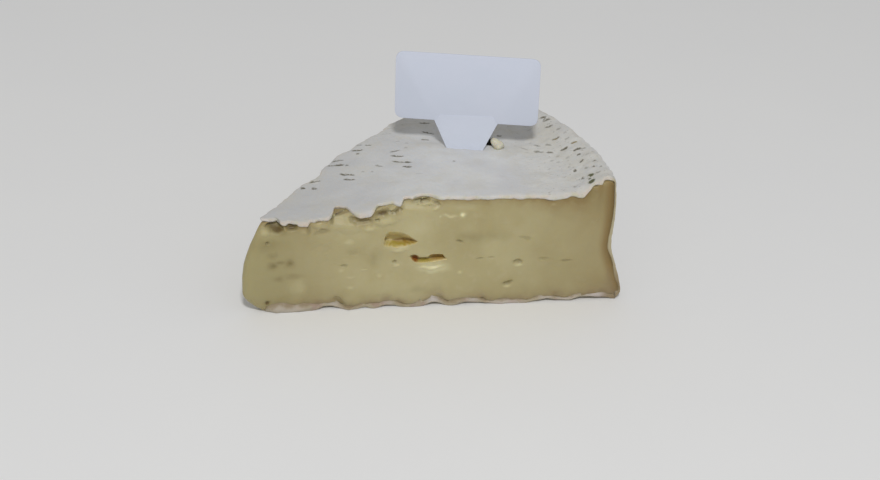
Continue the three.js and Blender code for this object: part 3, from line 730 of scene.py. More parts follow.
def rim_grooves():
    """Places of the rim's grooves, as along the rim, height, half length, turn and strength."""
    numbers = np.random.default_rng(SEED)
    places = []
    for _ in range(RIM_GROOVES["count"]):
        along = numbers.uniform(RIM_MARGIN, RIM_RADIUS * WEDGE_ANGLE - RIM_MARGIN)
        height = numbers.uniform(RIM_GROOVES["lowest"], RIM_GROOVES["highest"])
        half = numbers.uniform(RIM_GROOVES["shortest"], RIM_GROOVES["longest"])
        turn = numbers.normal(0, RIM_GROOVES["spread"])
        places.append((along, height, half, turn, numbers.uniform(*RIM_GROOVE_STRENGTH)))
    return places


def groove_field(points, places, grooves):
    """For each point, how far it is across the nearest groove and how near that groove is."""
    across = np.full(len(points), FAR)
    near = np.zeros(len(points))
    wander = uneven("groove_wander", points)
    for x, y, half, turn, strength in grooves:
        reach = half + GROOVE["ends"]
        along, side = turned(places[:, 0] - x, places[:, 1] - y, math.radians(turn))
        side = side + GROOVE["bend"] * half * np.cos(along * GROOVE["bend_rate"] / reach)
        close = strength * clamp01(GROOVE["full"] - (along / reach) ** 2 - (side / GROOVE["field"]) ** 2)
        across = np.where(close > near, side + wander, across)
        near = np.maximum(near, close)
    return across, near


def rind_relief(points, part, across, near):
    """How far the rind's outer side stands out or in: soft undulations, wrinkles and its grooves."""
    fine = uneven("bloom_fine", points)
    if part == "under":
        return UNDER_SHARE * fine - UNDER_SUNK
    line = np.exp(-((across / GROOVE["half"]) ** 2))
    rolls = np.exp(-(((np.abs(across) - GROOVE["roll_at"]) / GROOVE["roll_half"]) ** 2))
    relief = uneven("bloom_broad", points) + fine + uneven("pebbles", points) * wrinkled(points)
    relief += clamp01(near) * (GROOVE["roll"] * rolls - GROOVE["depth"] * line)
    return relief + uneven("bloom_creases" if part == "top" else "rim_folds", points)


def wrinkled(points):
    """Where the bloom of the top is pebbled and wrinkled: towards the rim, and a little at the back left."""
    x, y = points[:, 0], points[:, 1]
    rim_side = span("wrinkles_rim", np.hypot(x, y) + uneven("wrinkles_rim", points))
    back_side = span("wrinkles_back", y - BACK_WRINKLES["lean"] * x + uneven("wrinkles_back", points))
    return np.maximum(rim_side, BACK_WRINKLES["share"] * back_side)


def slit_depth(points):
    """How deep the open end of the slit and the dimple round the stem are, and where the open end is."""
    along, side = turned(points[:, 0] - CARD_PLACE["x"], points[:, 1] - CARD_PLACE["y"], CARD_PLACE["turn"])
    half_stem = CARD["stem_foot"] / 2
    end_along = (along - half_stem - SLIT_END["beyond"]) / SLIT_END["half"]
    open_end = clamp01(1 - end_along**2 - ((side - SLIT_END["behind"]) / SLIT_END["wide"]) ** 2)
    beyond = np.maximum(np.abs(along) - half_stem, 0) / STEM_DIMPLE["half"]
    dimple = clamp01(1 - beyond**2 - (side / STEM_DIMPLE["wide"]) ** 2)
    return SLIT_END["depth"] * np.sqrt(open_end) + STEM_DIMPLE["depth"] * dimple, open_end


def mould_spots(points):
    """How strongly each point lies in one of the olive spots."""
    spots = np.zeros(len(points))
    for x, y, radius, strength in MOULD_SPOTS:
        away = np.hypot(points[:, 0] - x, points[:, 1] - y) / radius
        spots = np.maximum(spots, strength * clamp01(MOULD_FULL - away))
    return spots


def outer_side(part, turn, row, on_rim):
    """One row of the rind's outer side with its fine relief, and its tones by name."""
    points, facing, away, _ = row
    none = np.zeros(COLUMNS)
    across, near, slit, mould = none + FAR, none, none, none
    if part == "top":
        across, near = groove_field(points, points, GROOVES)
    elif part == "rim":
        around = RIM_RADIUS * np.arctan2(points[:, 1], points[:, 0])
        across, near = groove_field(points, np.stack([around, points[:, 2]], -1), on_rim)
    quiet = mix(QUIET_SHARE, 1, span("off_cut", away[0]) * span("off_cut", away[1]))
    points = points + facing * (rind_relief(points, part, across, near) * quiet)[:, None]
    if part == "top":
        depth, slit = slit_depth(points)
        points[:, 2] -= depth
        mould = mould_spots(points)
    points[:, 2] = np.maximum(points[:, 2], 0)
    from_edge = np.minimum(*away)
    under = smooth(math.pi / 2, math.pi, turn) + none
    upper = span("upper_share", under)
    rim = span("rim_turn", turn) * upper
    brown = span("brown_out", np.hypot(points[:, 0], points[:, 1])) * span("brown_low", points[:, 2])
    return points, {
        "groove_across": across, "groove_near": near, "slit": slit, "under": under, "rim": rim,
        "mould": mould, "wrinkle": wrinkled(points) * (1 - RIM_WRINKLES_LESS * rim) * upper,
        "edge": fade("edge", from_edge), "grey": span("grey_tip", points[:, 0]) * upper,
        "brown": brown * fade("brown", from_edge),
    }


def inner_side(part, at, turn, points, row, coarse):
    """One row of the rind's inner side, and how far the two cut edges roll out there."""
    _, facing, away, pulled = row
    thick = facing * np.array([1, 1, TOP_RIND if turn < math.pi / 2 else BOTTOM_RIND])
    thick[:, :2] *= rim_rind(points[:, 2])[:, None]
    inside = (points - thick)[coarse]
    if part != "under":
        inside[0] -= FRONT_OUT * ROLL["plain"]
        inside[-1] -= BACK_OUT * ROLL["plain"]
        return inside, (ROLL["plain"], ROLL["plain"])
    heels = front_heel(at), back_heel(np.array([at]))
    inside[:, 2] = BOTTOM_RIND
    inside -= pulled[coarse]
    for (seam, _, _), from_cut, out in zip(heels, away, (FRONT_OUT, BACK_OUT)):
        step = seam + HEEL_TUCK["above_seam"] - BOTTOM_RIND
        inside[:, 2] += step * span("heel_seam", from_cut[coarse])
        inside -= HEEL_TUCK["in"] * clamp01(1 - from_cut[coarse, None] / HEEL_TUCK["width"]) * out
    return inside, [ROLL["heel"] + ROLL["heel_gain"] * forward for _, _, forward in heels]


class Skin:
    """A closed skin under construction: numbered grids of points, and faces between them."""

    def __init__(self):
        self.points, self.faces, self.count = [], [], 0

    def add(self, grid):
        """Takes in a grid of points and gives back their numbers."""
        grid = np.asarray(grid)
        numbers = self.count + np.arange(grid.shape[0] * grid.shape[1]).reshape(grid.shape[:2])
        self.points.append(grid.reshape(-1, 3))
        self.count += numbers.size
        return numbers


def tip_end(skin, outer_row, inner_row, outer_at, edges_at, inner_at):
    """Rounds off one end of the rind at the tip: its new points' numbers and the faces over it."""
    away = (outer_row - outer_row.mean(0) + TIP_OUT * TIP_END_ROLL["behind"]) * np.array([1, 1, 0])
    away = away / np.linalg.norm(away, axis=1)[:, None]
    levels = EDGE_STEPS[:, None, None]
    lines = mix(outer_row, inner_row, levels) + TIP_END_ROLL["swell"] * np.sin(np.pi * levels) * away
    new_at = skin.add(lines[:, 1:-1])
    lines_at = np.vstack([outer_at, np.column_stack([edges_at[0], new_at, edges_at[1]])])
    return new_at, grid_faces(lines_at) + zip_faces(lines_at[-1].tolist(), inner_at.tolist())


def rind_tones(count, tones, outer_at, front_at, back_at):
    """Tones for all of the rind's points: the outer side's, and what goes on over its rolled edges."""
    labels = {}
    for name in tones[0]:
        values = np.full(count, {"edge": 1.0, "groove_across": FAR}.get(name, 0.0))
        values[: outer_at.size] = np.concatenate([row_tones[name] for row_tones in tones])
        if name in ROLLED_TONES:
            values[front_at] = values[outer_at[:, :1]]
            values[back_at] = values[outer_at[:, -1:]]
        labels[name] = values
    # Painted shade up the bottom rind's rolled edges, growing towards the paste above them
    rise = np.zeros(count)
    rise[front_at] = rise[back_at] = (np.arange(LIP_STEPS) + 1) / LIP_STEPS
    labels["heel_rise_shade"] = rise * labels["under"]
    return labels


def rind_shell(material):
    """The white rind as one closed skin: over the top, round the rim and under the bottom."""
    s = np.linspace(0, 1, COLUMNS)
    share = s - EDGE_CROWDING * np.sin(2 * np.pi * s) / (2 * np.pi)
    coarse = np.arange(0, COLUMNS, INNER_EVERY)
    outer, inner, edges, tones, along_heel = [], [], ([], []), [], []
    on_rim = rim_grooves()
    for part, at, turn in rind_rows():
        row = rind_row(part, at, turn, share)
        points, row_tones = outer_side(part, turn, row, on_rim)
        inside, rolls = inner_side(part, at, turn, points, row, coarse)
        outer.append(points)
        inner.append(inside)
        tones.append(row_tones)
        along_heel.append(at if part == "under" else math.inf)
        for edge, side, out, roll in zip(edges, (0, -1), (FRONT_OUT, BACK_OUT), rolls):
            strip = mix(points[side], inside[side], EDGE_STEPS[:, None])
            crumple = 1 + CRUMPLE.get(part, CRUMPLE["other"]) * uneven("edge_crumple", strip)
            edge.append(strip + (roll * np.sin(np.pi * EDGE_STEPS) * crumple)[:, None] * out)
    skin = Skin()
    outer_at, front_at, back_at, inner_at = (skin.add(side) for side in (outer, *edges, inner))
    skin.faces += grid_faces(outer_at[:, ::-1])
    skin.faces += grid_faces(np.column_stack([outer_at[:, 0], front_at, inner_at[:, 0]]))
    skin.faces += grid_faces(np.column_stack([outer_at[:, -1], back_at, inner_at[:, -1]])[:, ::-1])
    skin.faces += grid_faces(inner_at)
    for end in (0, -1):
        inner_row = np.stack([np.interp(share, share[coarse], inner[end][:, k]) for k in range(3)], -1)
        edges_at = front_at[end], back_at[end]
        end_at, cap = tip_end(skin, outer[end], inner_row, outer_at[end], edges_at, inner_at[end])
        skin.faces += cap if end == 0 else [face[::-1] for face in cap]
    labels = rind_tones(skin.count, tones, outer_at, front_at, back_at)
    # Painted shade over the bottom rind's rounded end at the tip
    labels["heel_rise_shade"][end_at] = TIP_HEEL_RISE_SHADE
    labels["under"][end_at] = 1.0
    white = labels["heel_bloom"] = np.zeros(skin.count)
    for at, half, strength in HEEL_BLOOM:
        near = strength * bump(np.array(along_heel), at, half)
        white[front_at] = np.maximum(white[front_at], near[:, None])
    return mesh_object("bloomy_rind", np.concatenate(skin.points), skin.faces, material, labels)


# How finely the paste is divided: stretches of the front cut as (from, to, spacing), the spacing along the
# back cut, stations round the rim and the tip, and levels up the walls, which crowd where the eyes are
FRONT_STRETCHES = [(TIP_REACH, 36, 0.29), (36, 58, 0.22), (58, RIM_RADIUS, 0.38)]
BACK_SPACING = 0.6
RIM_STATIONS = 42
TIP_STATIONS = 14
PASTE_LEVELS = 116
EYE_LEVELS = {"middle": 0.45, "width": 0.32, "gain": 0.9, "steps": 2001}

# Rings of the paste's top and of its floor, as shares of the way out from their middle
TOP_RINGS = [0.992, 0.982, 0.968, 0.95, 0.93, 0.905, 0.875, 0.84, 0.8, 0.74, 0.66, 0.56, 0.45, 0.3, 0.15]
FLOOR_RINGS = [0.3, 0.8, 0.97]
MIDDLE_SHARE = 0.56
FLOOR_HEIGHT = 1.3

# How far the paste lies inside the rind, and below its skin where it is bare
HIDDEN = 0.45
BARE = 0.95
BARE_FALL = 0.15
SLIT_ROOM = {"along": 8, "behind": 3, "depth": 5.5, "width": 12}

# Where the walls start, as heights: away from the cuts, at the tip, and how far in the rind they start
SEAM = {"plain": 2.2, "tip": 1.2, "tip_share": 0.35, "hidden": 0.5}

# The walls' swell, their slow waves, their rounded upper edge and their foot on the bottom rind
SWELL_TOP = 1.2
SWELL_EASE = 0.8
WALL_WAVE = {"height": 0.12, "along": 0.8, "up": 0.6}
WALL_EDGE = {"height": 1.1, "plain": 0.05, "torn": 0.8}
WALL_FOOT = 0.4

# The slope of the paste back to a torn edge: how much of the near edge it follows, how low it starts
TORN_SLOPE = {"near": 0.35, "most": 1.9, "start": 1.6, "gain": 1.9, "end": 0.4, "back": 0.62}
BROAD_SHIFTS = (-3.2, -1.6, 0, 1.6, 3.2)

# How the outlines of the marks and of the eyes are bent, and how soft the marks are
MARK_BEND = {"shape": (0.7, 0.3), "tone": (0.5, 0.25), "up": 0.8, "eye": 0.12}
RISE = {"full": 1.05, "ease": 1.3}
EYE_ROOF_EASE = 0.7
TONE_FALL = 1.2
DENT_DEPTH = 1.1

# The ochre band of the front cut, partly the paste's own ochre under the rind and partly painted shade under
# the rind's edge: how far below the rind's skin and in front of it, how weak at a torn edge and how strong
# at the rim. Then the darker tone towards the rim, partly painted shade where the paste falls back there,
# the tip's, the foot's and the dull end's.
BAND = {"below": 0.9, "front": 0.2, "torn": 0.4, "rim": 1.5}
RIMWARD = {"from": 0.4, "share": 0.25}
TIP_TONE = {"behind": 2, "width": 22}
FOOT_AT_TIP = 0.4
DULL_RIM_SHARE = 0.5


def crowded(count, middle, width, gain, steps):
    """Shares from 0 to 1 that stand closer together round a middle."""
    fine = np.linspace(0, 1, steps)
    total = np.cumsum(1 + gain * bump(fine, middle, width))
    return np.interp(np.linspace(total[0], total[-1], count), total, fine)


def oval(along, up, at, height, half, tall, tilt=0):
    """0 at the middle of a tilted oval and 1 on its border, squared."""
    u, v = turned(along - at, up - height, math.radians(tilt))
    return (u / half) ** 2 + (v / tall) ** 2


def paste_stations():
    """Stations round the plan, anticlockwise from the tip: place, way out, outward way, share and kind."""
    front = np.concatenate([np.arange(start, end, spacing) for start, end, spacing in FRONT_STRETCHES])
    back = np.arange(RIM_RADIUS - BACK_SPACING, TIP_REACH, -BACK_SPACING)
    rim = np.linspace(0, WEDGE_ANGLE, RIM_STATIONS)
    tip = np.linspace(math.pi / 2 + WEDGE_ANGLE, 1.5 * math.pi, TIP_STATIONS + 2)[1:-1]
    rim_way = np.stack([np.cos(rim), np.sin(rim)], -1)
    tip_out = np.stack([np.cos(tip), np.sin(tip)], -1)
    tip_base = np.array([TIP_REACH, TIP_ROUNDING]) + TIP_ROUNDING * tip_out

    def on_cut(along, turn, outward):
        s = (along - TIP_REACH) / (RIM_RADIUS - TIP_REACH)
        direction = np.array([math.cos(turn), math.sin(turn)])
        base = (TIP_REACH * (1 - s))[:, None] * direction
        return base, s[:, None] * direction, np.tile(outward[:2], (len(s), 1)), s

    parts = {
        "front": on_cut(front, 0, FRONT_OUT),
        "rim": (rim_way * 0, rim_way, rim_way, rim * 0 + 1),
        "back": on_cut(back, WEDGE_ANGLE, BACK_OUT),
        "tip": (tip_base, tip_out * 0, tip_out, tip * 0),
    }
    kind = np.repeat(list(parts), [len(part[0]) for part in parts.values()])
    return *(np.concatenate(values) for values in zip(*parts.values())), kind


def sighted(along, up, out):
    """Where a point that stands out from the front cut's plane is seen against that plane."""
    share = out / SIGHT["away"]
    return along + share * (along - SIGHT["along"]), up - share * (SIGHT["height"] - up)


def torn_slope(reach, broad_reach, crest, points):
    """Under a torn edge the paste slopes back to it, lumpily: how far back, and where that is."""
    torn = np.clip(-mix(broad_reach, reach, TORN_SLOPE["near"]), 0, TORN_SLOPE["most"])
    start = TORN_SLOPE["start"] + TORN_SLOPE["gain"] * torn + uneven("torn_start", points)
    sloped = smooth(start, TORN_SLOPE["end"], crest - points[..., 2])
    bare = span("torn", torn)
    return (TORN_SLOPE["back"] * torn - uneven("torn_lumps", points) * bare) * sloped, sloped * bare


def eye_hollows(along, up):
    """How deep the open eyes of the front cut are at each place, and how far inside one it is."""
    depth = np.zeros(along.shape)
    inside = np.zeros(along.shape)
    for eye in EYES:
        above = curve_through(eye["top"], flat_turns=True)(along) - up
        below = up - curve_through(eye["bottom"], flat_turns=True)(along)
        hollow = span("eye_floor", below) * clamp01(above / eye["roof"]) ** EYE_ROOF_EASE
        depth = np.maximum(depth, eye["depth"] * hollow)
        within = span("eye_border", np.minimum(above, below)) * span("eye_open", above + below)
        inside = np.maximum(inside, within)
    return depth, inside


def in_patches(along, up, spots):
    """How strongly each place lies in one of these soft oval patches."""
    strength = np.zeros(along.shape)
    for at, height, half, tall, full in spots:
        strength = np.maximum(strength, full * span("patch_share", oval(along, up, at, height, half, tall)))
    return strength


def front_relief(points, crest, proud):
    """Relief of the front cut, and its tones by name. proud is how far the plain wall stands out already."""
    along, up = points[..., 0], points[..., 2]
    bend_along, bend_up = uneven("bend_along", points), uneven("bend_up", points)

    def marks(out, bends):
        """Each mark's depth and tone, with how far every place is from its middle."""
        face_along, face_up = sighted(along, up, out)
        for at, height, half, tall, tilt, depth, tone in FACE_MARKS:
            bend = min(bends[0], bends[1] * half)
            bent_along, bent_up = face_along + bend * bend_along, face_up + MARK_BEND["up"] * bend * bend_up
            yield depth, tone, oval(bent_along, bent_up, at, height, half, tall, tilt)

    reach = lip_reach(along)
    broad_reach = sum(torn_reach(along + shift) for shift in BROAD_SHIFTS) / len(BROAD_SHIFTS)
    slope, torn = torn_slope(reach, broad_reach, crest, points)
    relief = -slope
    for depth, _, away in marks(proud - slope, MARK_BEND["shape"]):
        if depth < 0:
            relief += depth * span("hollow_share", away)
        else:
            relief += depth * clamp01(RISE["full"] - away) ** RISE["ease"]
    face_along, face_up = sighted(along, up, proud)
    eye_along, eye_up = face_along + MARK_BEND["eye"] * bend_along, face_up + MARK_BEND["eye"] * bend_up
    depth, inside = eye_hollows(eye_along, eye_up)
    relief -= depth
    # Dark tones are real stains and painted shade in the hollows; pale ones cream flecks and painted
    # highlights
    dark = pale = np.zeros(along.shape)
    for _, tone, away in marks(proud + relief, MARK_BEND["tone"]):
        near = tone * np.exp(-TONE_FALL * away)
        dark = np.maximum(dark, -near)
        pale = np.maximum(pale, near)
    face_along, face_up = sighted(along, up, proud + relief)
    rim_end = span("rim_end", along)
    edge = sighted(along, crest - BAND["below"] - lip_drop(along), reach + BAND["front"])[1]
    fall = mix(FADES["under_rind"], FADES["under_rim_rind"], rim_end)
    band = np.exp(-np.maximum(edge - face_up, 0) / fall)
    band *= mix(BAND["torn"], 1, span("torn_back", reach)) * mix(1, BAND["rim"], rim_end)
    return relief, {
        "eye": inside, "stain_and_shade": dark, "pale": pale, "bare": torn, "below_rind": band,
        "gold": inside * in_patches(face_along, face_up, EYE_GLOW),
        "umber": inside * in_patches(face_along, face_up, EYE_SHADE),
    }


def back_relief(points, along, crest):
    """Relief of the back cut, with its eyes and the small dents of a soft cut, and its tones by name."""
    up = points[..., 2]
    deep = np.zeros(up.shape)
    reach = back_lip(along)[0]
    slope, torn = torn_slope(reach, reach, crest, points)
    relief = -slope
    for at, height, half, tall, down, tilt in BACK_EYES:
        inside = np.sqrt(clamp01(1 - oval(along, up, at, height, half, tall, tilt)))
        relief = np.minimum(relief, relief - down * inside)
        deep = np.maximum(deep, inside)
    return relief - DENT_DEPTH * span("dent_share", uneven("dents", points)), {"eye": deep, "bare": torn}


def paste_top(points):
    """Height of the paste's top: inside the rind's thickness, and lower and broken where it lies bare."""
    x, y = points[:, 0], points[:, 1]
    front_away, back_away = from_cuts(x, y)
    back_out, back_drop = back_lip(turned(x, y, WEDGE_ANGLE)[0])
    behind = np.minimum(front_away + lip_reach(x), back_away + back_out)
    bare = span("bare", np.minimum(behind, np.hypot(x, y) - TIP_REACH - TIP_TORN))
    level = top_height(x, y) - mix(HIDDEN, BARE, bare)
    level -= np.maximum(lip_drop(x), 0) * hang(front_away) + back_drop * hang(back_away)
    level -= bare * (BARE_FALL + uneven("bare_top", points))
    slit = np.hypot(x - CARD_PLACE["x"] - SLIT_ROOM["along"], y - CARD_PLACE["y"] - SLIT_ROOM["behind"])
    return level - SLIT_ROOM["depth"] * bump(slit, 0, SLIT_ROOM["width"]), bare


def wall_shares(out, share, kind):
    """How far each station is part of a cut, of the front cut and of the back cut."""
    at_tip = kind == "tip"
    cut = np.select([kind == "rim", at_tip], [0.0, 1.0], span("corner_share", share))
    as_front = cut * np.select([kind == "front", at_tip], [1.0, span("faces_cut", -out[:, 1])])
    as_back = cut * np.select([kind == "back", at_tip], [1.0, span("faces_cut", out @ BACK_OUT[:2])])
    return cut, as_front, as_back


def wall_heights(along, crest, kind, as_front, as_back):
    """Where the walls meet the bottom rind, where they start inside it and where they end."""
    seam = mix(mix(SEAM["plain"], front_heel(along)[0], as_front), back_heel(along)[0], as_back)
    seam = np.where(kind == "tip", mix(SEAM["tip"], seam, SEAM["tip_share"]), seam)
    drop = as_front * np.maximum(lip_drop(along), 0) + as_back * back_lip(along)[1]
    return seam, seam - SEAM["hidden"], crest - BARE - drop


def tip_slump(along, up, crest, cut):
    """How far the walls slump outwards at the tip, which is most at one height."""
    level = TIP_SLUMP["height"]
    lean = 1 - ((up - level) / np.where(up > level, crest - level, level)) ** 2
    slump = TIP_SLUMP["far"] * cut * bump(along, 0, TIP_SLUMP["length"]) * lean
    return slump[..., None] * np.array(TIP_SLUMP["way"])


def wall_swell(points, along, seam, crest, high, as_front, as_back):
    """How far the walls stand out before their marks: swell, slow waves, rounded upper edge and foot."""
    up = points[..., 2]
    rise = clamp01((up - seam) / (crest - SWELL_TOP - seam))
    proud = PASTE_SWELL * np.sin(np.pi * rise) ** SWELL_EASE + uneven("wall", points)
    proud += WALL_WAVE["height"] * ripple(along * WALL_WAVE["along"], up * WALL_WAVE["up"])
    edge = clamp01(1 - (high - up) / WALL_EDGE["height"])
    torn = as_front * span("torn_wall", lip_reach(along)) + as_back * span("torn_wall", back_lip(along)[0])
    proud -= mix(WALL_EDGE["plain"], WALL_EDGE["torn"], torn) * (1 - np.sqrt(1 - edge * edge))
    return proud + fade("foot", np.maximum(up - seam, 0)) * (WALL_FOOT + uneven("wall_foot", points))


def wall_tones(points, along, seam, cut):
    """Tones of the walls that come from where they are, by name."""
    x, up = points[..., 0], points[..., 2]
    from_middle = np.hypot(x, points[..., 1])
    from_rim = np.maximum(rim_radius(up) - from_middle - RIMWARD["from"], 0)
    above_heel = fade("foot_tone", np.maximum(up - seam, 0))
    return {
        "near_rim": np.maximum(fade("rim_tone", from_rim), RIMWARD["share"] * span("rim_third", x)),
        "tip": bump(np.hypot(x + TIP_TONE["behind"], points[..., 1]), 0, TIP_TONE["width"]),
        "above_heel": above_heel * mix(FOOT_AT_TIP, 1, span("foot_from", along)),
        "corner": cut * span("corner_low", up) * span("corner_out", from_middle),
        "ends": np.maximum(span("dull_tip", x), DULL_RIM_SHARE * span("dull_rim", x)),
    }


def closed_walls(points, low):
    """The walls closed with a top and a floor: the skin, its numbers by row and how bare its top is."""
    middle = RIM_RADIUS * MIDDLE_SHARE * np.array([1, math.tan(WEDGE_ANGLE / 2)])
    rings, floors, top_bare = [], [], []
    for ring_share in TOP_RINGS:
        ring = np.column_stack([mix(middle, points[-1, :, :2], ring_share), points[-1, :, 2]])
        ring[:, 2], bare = paste_top(ring)
        rings.append(ring)
        top_bare.append(bare)
    for ring_share in FLOOR_RINGS:
        height = mix(FLOOR_HEIGHT, np.minimum(low, FLOOR_HEIGHT), span("floor_share", ring_share))
        floors.append(np.column_stack([mix(middle, points[0, :, :2], ring_share), height]))
    skin = Skin()
    at = skin.add(np.concatenate([floors, points, rings]))
    crown = top_height(*middle) - HIDDEN
    bottom, top = skin.add([[[*middle, FLOOR_HEIGHT], [*middle, crown]]])[0].tolist()
    skin.faces += grid_faces(np.column_stack([at, at[:, :1]]))
    skin.faces += [(bottom, b, a) for a, b in zip(at[0].tolist(), np.roll(at[0], -1).tolist())]
    skin.faces += [(top, a, b) for a, b in zip(at[-1].tolist(), np.roll(at[-1], -1).tolist())]
    return skin, at, np.array(top_bare)


def paste_body(material):
    """The ripe paste as one closed skin: its walls, its top under the rind and its floor in the rind."""
    base, way, out, share, kind = paste_stations()
    cut, as_front, as_back = wall_shares(out, share, kind)
    nominal = base + way * RIM_RADIUS
    along = np.hypot(nominal[:, 0], nominal[:, 1])
    crest = top_height(nominal[:, 0], nominal[:, 1])
    seam, low, high = wall_heights(along, crest, kind, as_front, as_back)
    up = mix(low, high, crowded(PASTE_LEVELS, **EYE_LEVELS)[:, None])
    plan = base + way * (rim_radius(up) - HIDDEN)[..., None] + tip_slump(along, up, crest, cut)
    points = np.concatenate([plan, up[..., None]], -1)

    proud = wall_swell(points, along, seam, crest, high, as_front, as_back)
    front_out, tones = front_relief(points, crest, proud)
    back_out, back_tones = back_relief(points, along, crest)
    offset = cut * proud + as_front * front_out + as_back * back_out
    points[..., :2] += offset[..., None] * out
    skin, at, top_bare = closed_walls(points, low)

    walls = {name: as_front * tone for name, tone in tones.items()}
    for name, tone in back_tones.items():
        walls[name] = walls[name] + as_back * tone
    # On the back cut the band under the rind, partly painted shade, fades down from the wall's top
    walls["below_rind"] = mix(fade("back_band", high - up), tones["below_rind"], as_front)
    walls.update(wall_tones(points, along, seam, cut))
    over = {"below_rind": 1, "bare": top_bare}
    labels = {name: np.zeros(skin.count) for name in walls}
    for name, values in walls.items():
        labels[name][at[len(FLOOR_RINGS) : -len(TOP_RINGS)]] = values
        labels[name][at[-len(TOP_RINGS) :]] = over.get(name, 0)
    return mesh_object("ripe_paste", np.concatenate(skin.points), skin.faces, material, labels)


def shade(red, green, blue):
    """A colour from 0-255 display values to the linear values that shaders take."""
    values = [channel / 255 for channel in (red, green, blue)]
    linear = [v / 12.92 if v <= 0.04045 else ((v + 0.055) / 1.055) ** 2.4 for v in values]
    return (*linear, 1.0)


class Finish:
    """A material under construction: a colour laid on tone by tone, and the nodes that say where."""

    def __init__(self, name, ground):
        self.material = bpy.data.materials.new(name)
        self.material.use_nodes = True
        self.nodes = self.material.node_tree.nodes
        self.links = self.material.node_tree.links
        self.nodes.clear()
        self.shader = self.nodes.new("ShaderNodeBsdfPrincipled")
        output = self.nodes.new("ShaderNodeOutputMaterial")
        self.links.new(self.shader.outputs["BSDF"], output.inputs["Surface"])
        self.place = self.nodes.new("ShaderNodeTexCoord").outputs["Object"]
        self.colour = ground

    def put(self, socket, value):
        if isinstance(value, bpy.types.NodeSocket):
            self.links.new(value, socket)
        else:
            socket.default_value = value

    def node(self, kind, settings=(), **inputs):
        """A new node with its settings and inputs by name."""
        made = self.nodes.new(kind)
        for name, value in dict(settings).items():
            setattr(made, name, value)
        for name, value in inputs.items():
            self.put(made.inputs[name.replace("_", " ")], value)
        return made

    def math(self, operation, first, second=0.0, clamp=False):
        node = self.node("ShaderNodeMath", {"operation": operation, "use_clamp": clamp})
        self.put(node.inputs[0], first)
        self.put(node.inputs[1], second)
        return node.outputs[0]

    def times(self, first, second, clamp=False):
        return self.math("MULTIPLY", first, second, clamp)

    def plus(self, first, second, clamp=False):
        return self.math("ADD", first, second, clamp)

    def attribute(self, name):
        return self.node("ShaderNodeAttribute", {"attribute_name": name}).outputs["Fac"]

    def noise(self, size, detail=3.0, roughness=0.55, stretch=(1, 1, 1), distortion=0.0):
        """Noise with lumps of about this size in millimetres."""
        place = self.node("ShaderNodeMapping", Vector=self.place, Scale=stretch).outputs[0]
        node = self.node(
            "ShaderNodeTexNoise", Vector=place, Scale=1 / (size * MM), Detail=detail, Roughness=roughness,
            Distortion=distortion)
        return node.outputs["Fac"]

    def step(self, value, start, end):
        """0 up to start and 1 from end, with a soft turn."""
        node = self.node("ShaderNodeMapRange", {"interpolation_type": "SMOOTHSTEP"}, Value=value)
        ends = {"From Min": min(start, end), "From Max": max(start, end)}
        ends.update({"To Min": float(start > end), "To Max": float(start < end)})
        for name, number in ends.items():
            node.inputs[name].default_value = number
        return node.outputs["Result"]

    def patches(self, size, start, end, **looks):
        """Noise cut into soft patches."""
        return self.step(self.noise(size, **looks), start, end)

    def blend(self, share, first, second):
        node = self.node("ShaderNodeMix", {"data_type": "RGBA"})
        self.put(node.inputs[0], share)
        colours = [socket for socket in node.inputs if socket.type == "RGBA"]
        self.put(colours[0], first)
        self.put(colours[1], second)
        return [socket for socket in node.outputs if socket.type == "RGBA"][0]

    def lay(self, tone, share, strength=None):
        """Lays a tone over the colour so far, where the share says."""
        share = share if strength is None else self.times(share, strength)
        self.colour = self.blend(share, self.colour, tone)

    def done(self, height=None, strength=0.0, depth=0.0, **sockets):
        """Sets the shader: its colour, its relief with a depth in millimetres, and these sockets."""
        self.put(self.shader.inputs["Base Color"], self.colour)
        for name, value in sockets.items():
            self.put(self.shader.inputs[name.replace("_", " ")], value)
        if height is not None:
            relief = self.node("ShaderNodeBump", Strength=strength, Distance=depth * MM, Height=height)
            self.put(self.shader.inputs["Normal"], relief.outputs["Normal"])
        return self.material


# Colours of the bloom, its grooves and spots, its edges, the rim and the heel, and the painted shade in the
# slit
BLOOM = shade(212, 212, 210)
BLOOM_GREY = shade(203, 203, 203)
TIP_GREY = shade(191, 191, 190)
BLOOM_BEIGE = shade(199, 195, 183)
GROOVE_BROWN = shade(86, 80, 56)
MOULD_OLIVE = shade(92, 94, 66)
SLIT_SHADE_DARK = shade(40, 38, 22)
RIND_LIP = shade(208, 192, 174)
RIND_CREAM = shade(196, 190, 158)
RIM_LINE = shade(178, 168, 138)
RIM_BLUSH = shade(190, 172, 146)
HEEL_CREAM = shade(170, 160, 136)
HEEL_PINK = shade(166, 147, 132)
HEEL_WHITE = shade(196, 188, 182)
HEEL_BROWN = shade(140, 122, 92)

# Colours of the paste, its eyes, its marks and the lump
STRAW = shade(183, 173, 131)
STRAW_DEEP = shade(173, 161, 117)
STRAW_PALE = shade(188, 178, 142)
STRAW_DULL = shade(161, 148, 108)
TIP_GREEN = shade(167, 160, 113)
OCHRE = shade(142, 119, 73)
RIM_OCHRE = shade(112, 92, 48)
STAIN_AND_SHADE_OLIVE = shade(120, 106, 62)
HOLLOW_SHADE_BROWN = shade(108, 90, 54)
CREAM = shade(224, 219, 178)
EYE_ROOF = shade(206, 191, 138)
GLOW_GOLD = shade(170, 152, 68)
SHADE_UMBER = shade(140, 82, 18)
LUMP_LIT_WHITE = shade(212, 210, 194)

# Colours of the card, its stem and the table
CARD_WHITE = shade(209, 214, 228)
CARD_SHADE = shade(207, 213, 227)
CARD_STEM_LIGHT = shade(224, 230, 243)
TABLE_GREY = shade(236, 236, 236)
TABLE_PALE = shade(239, 239, 238)


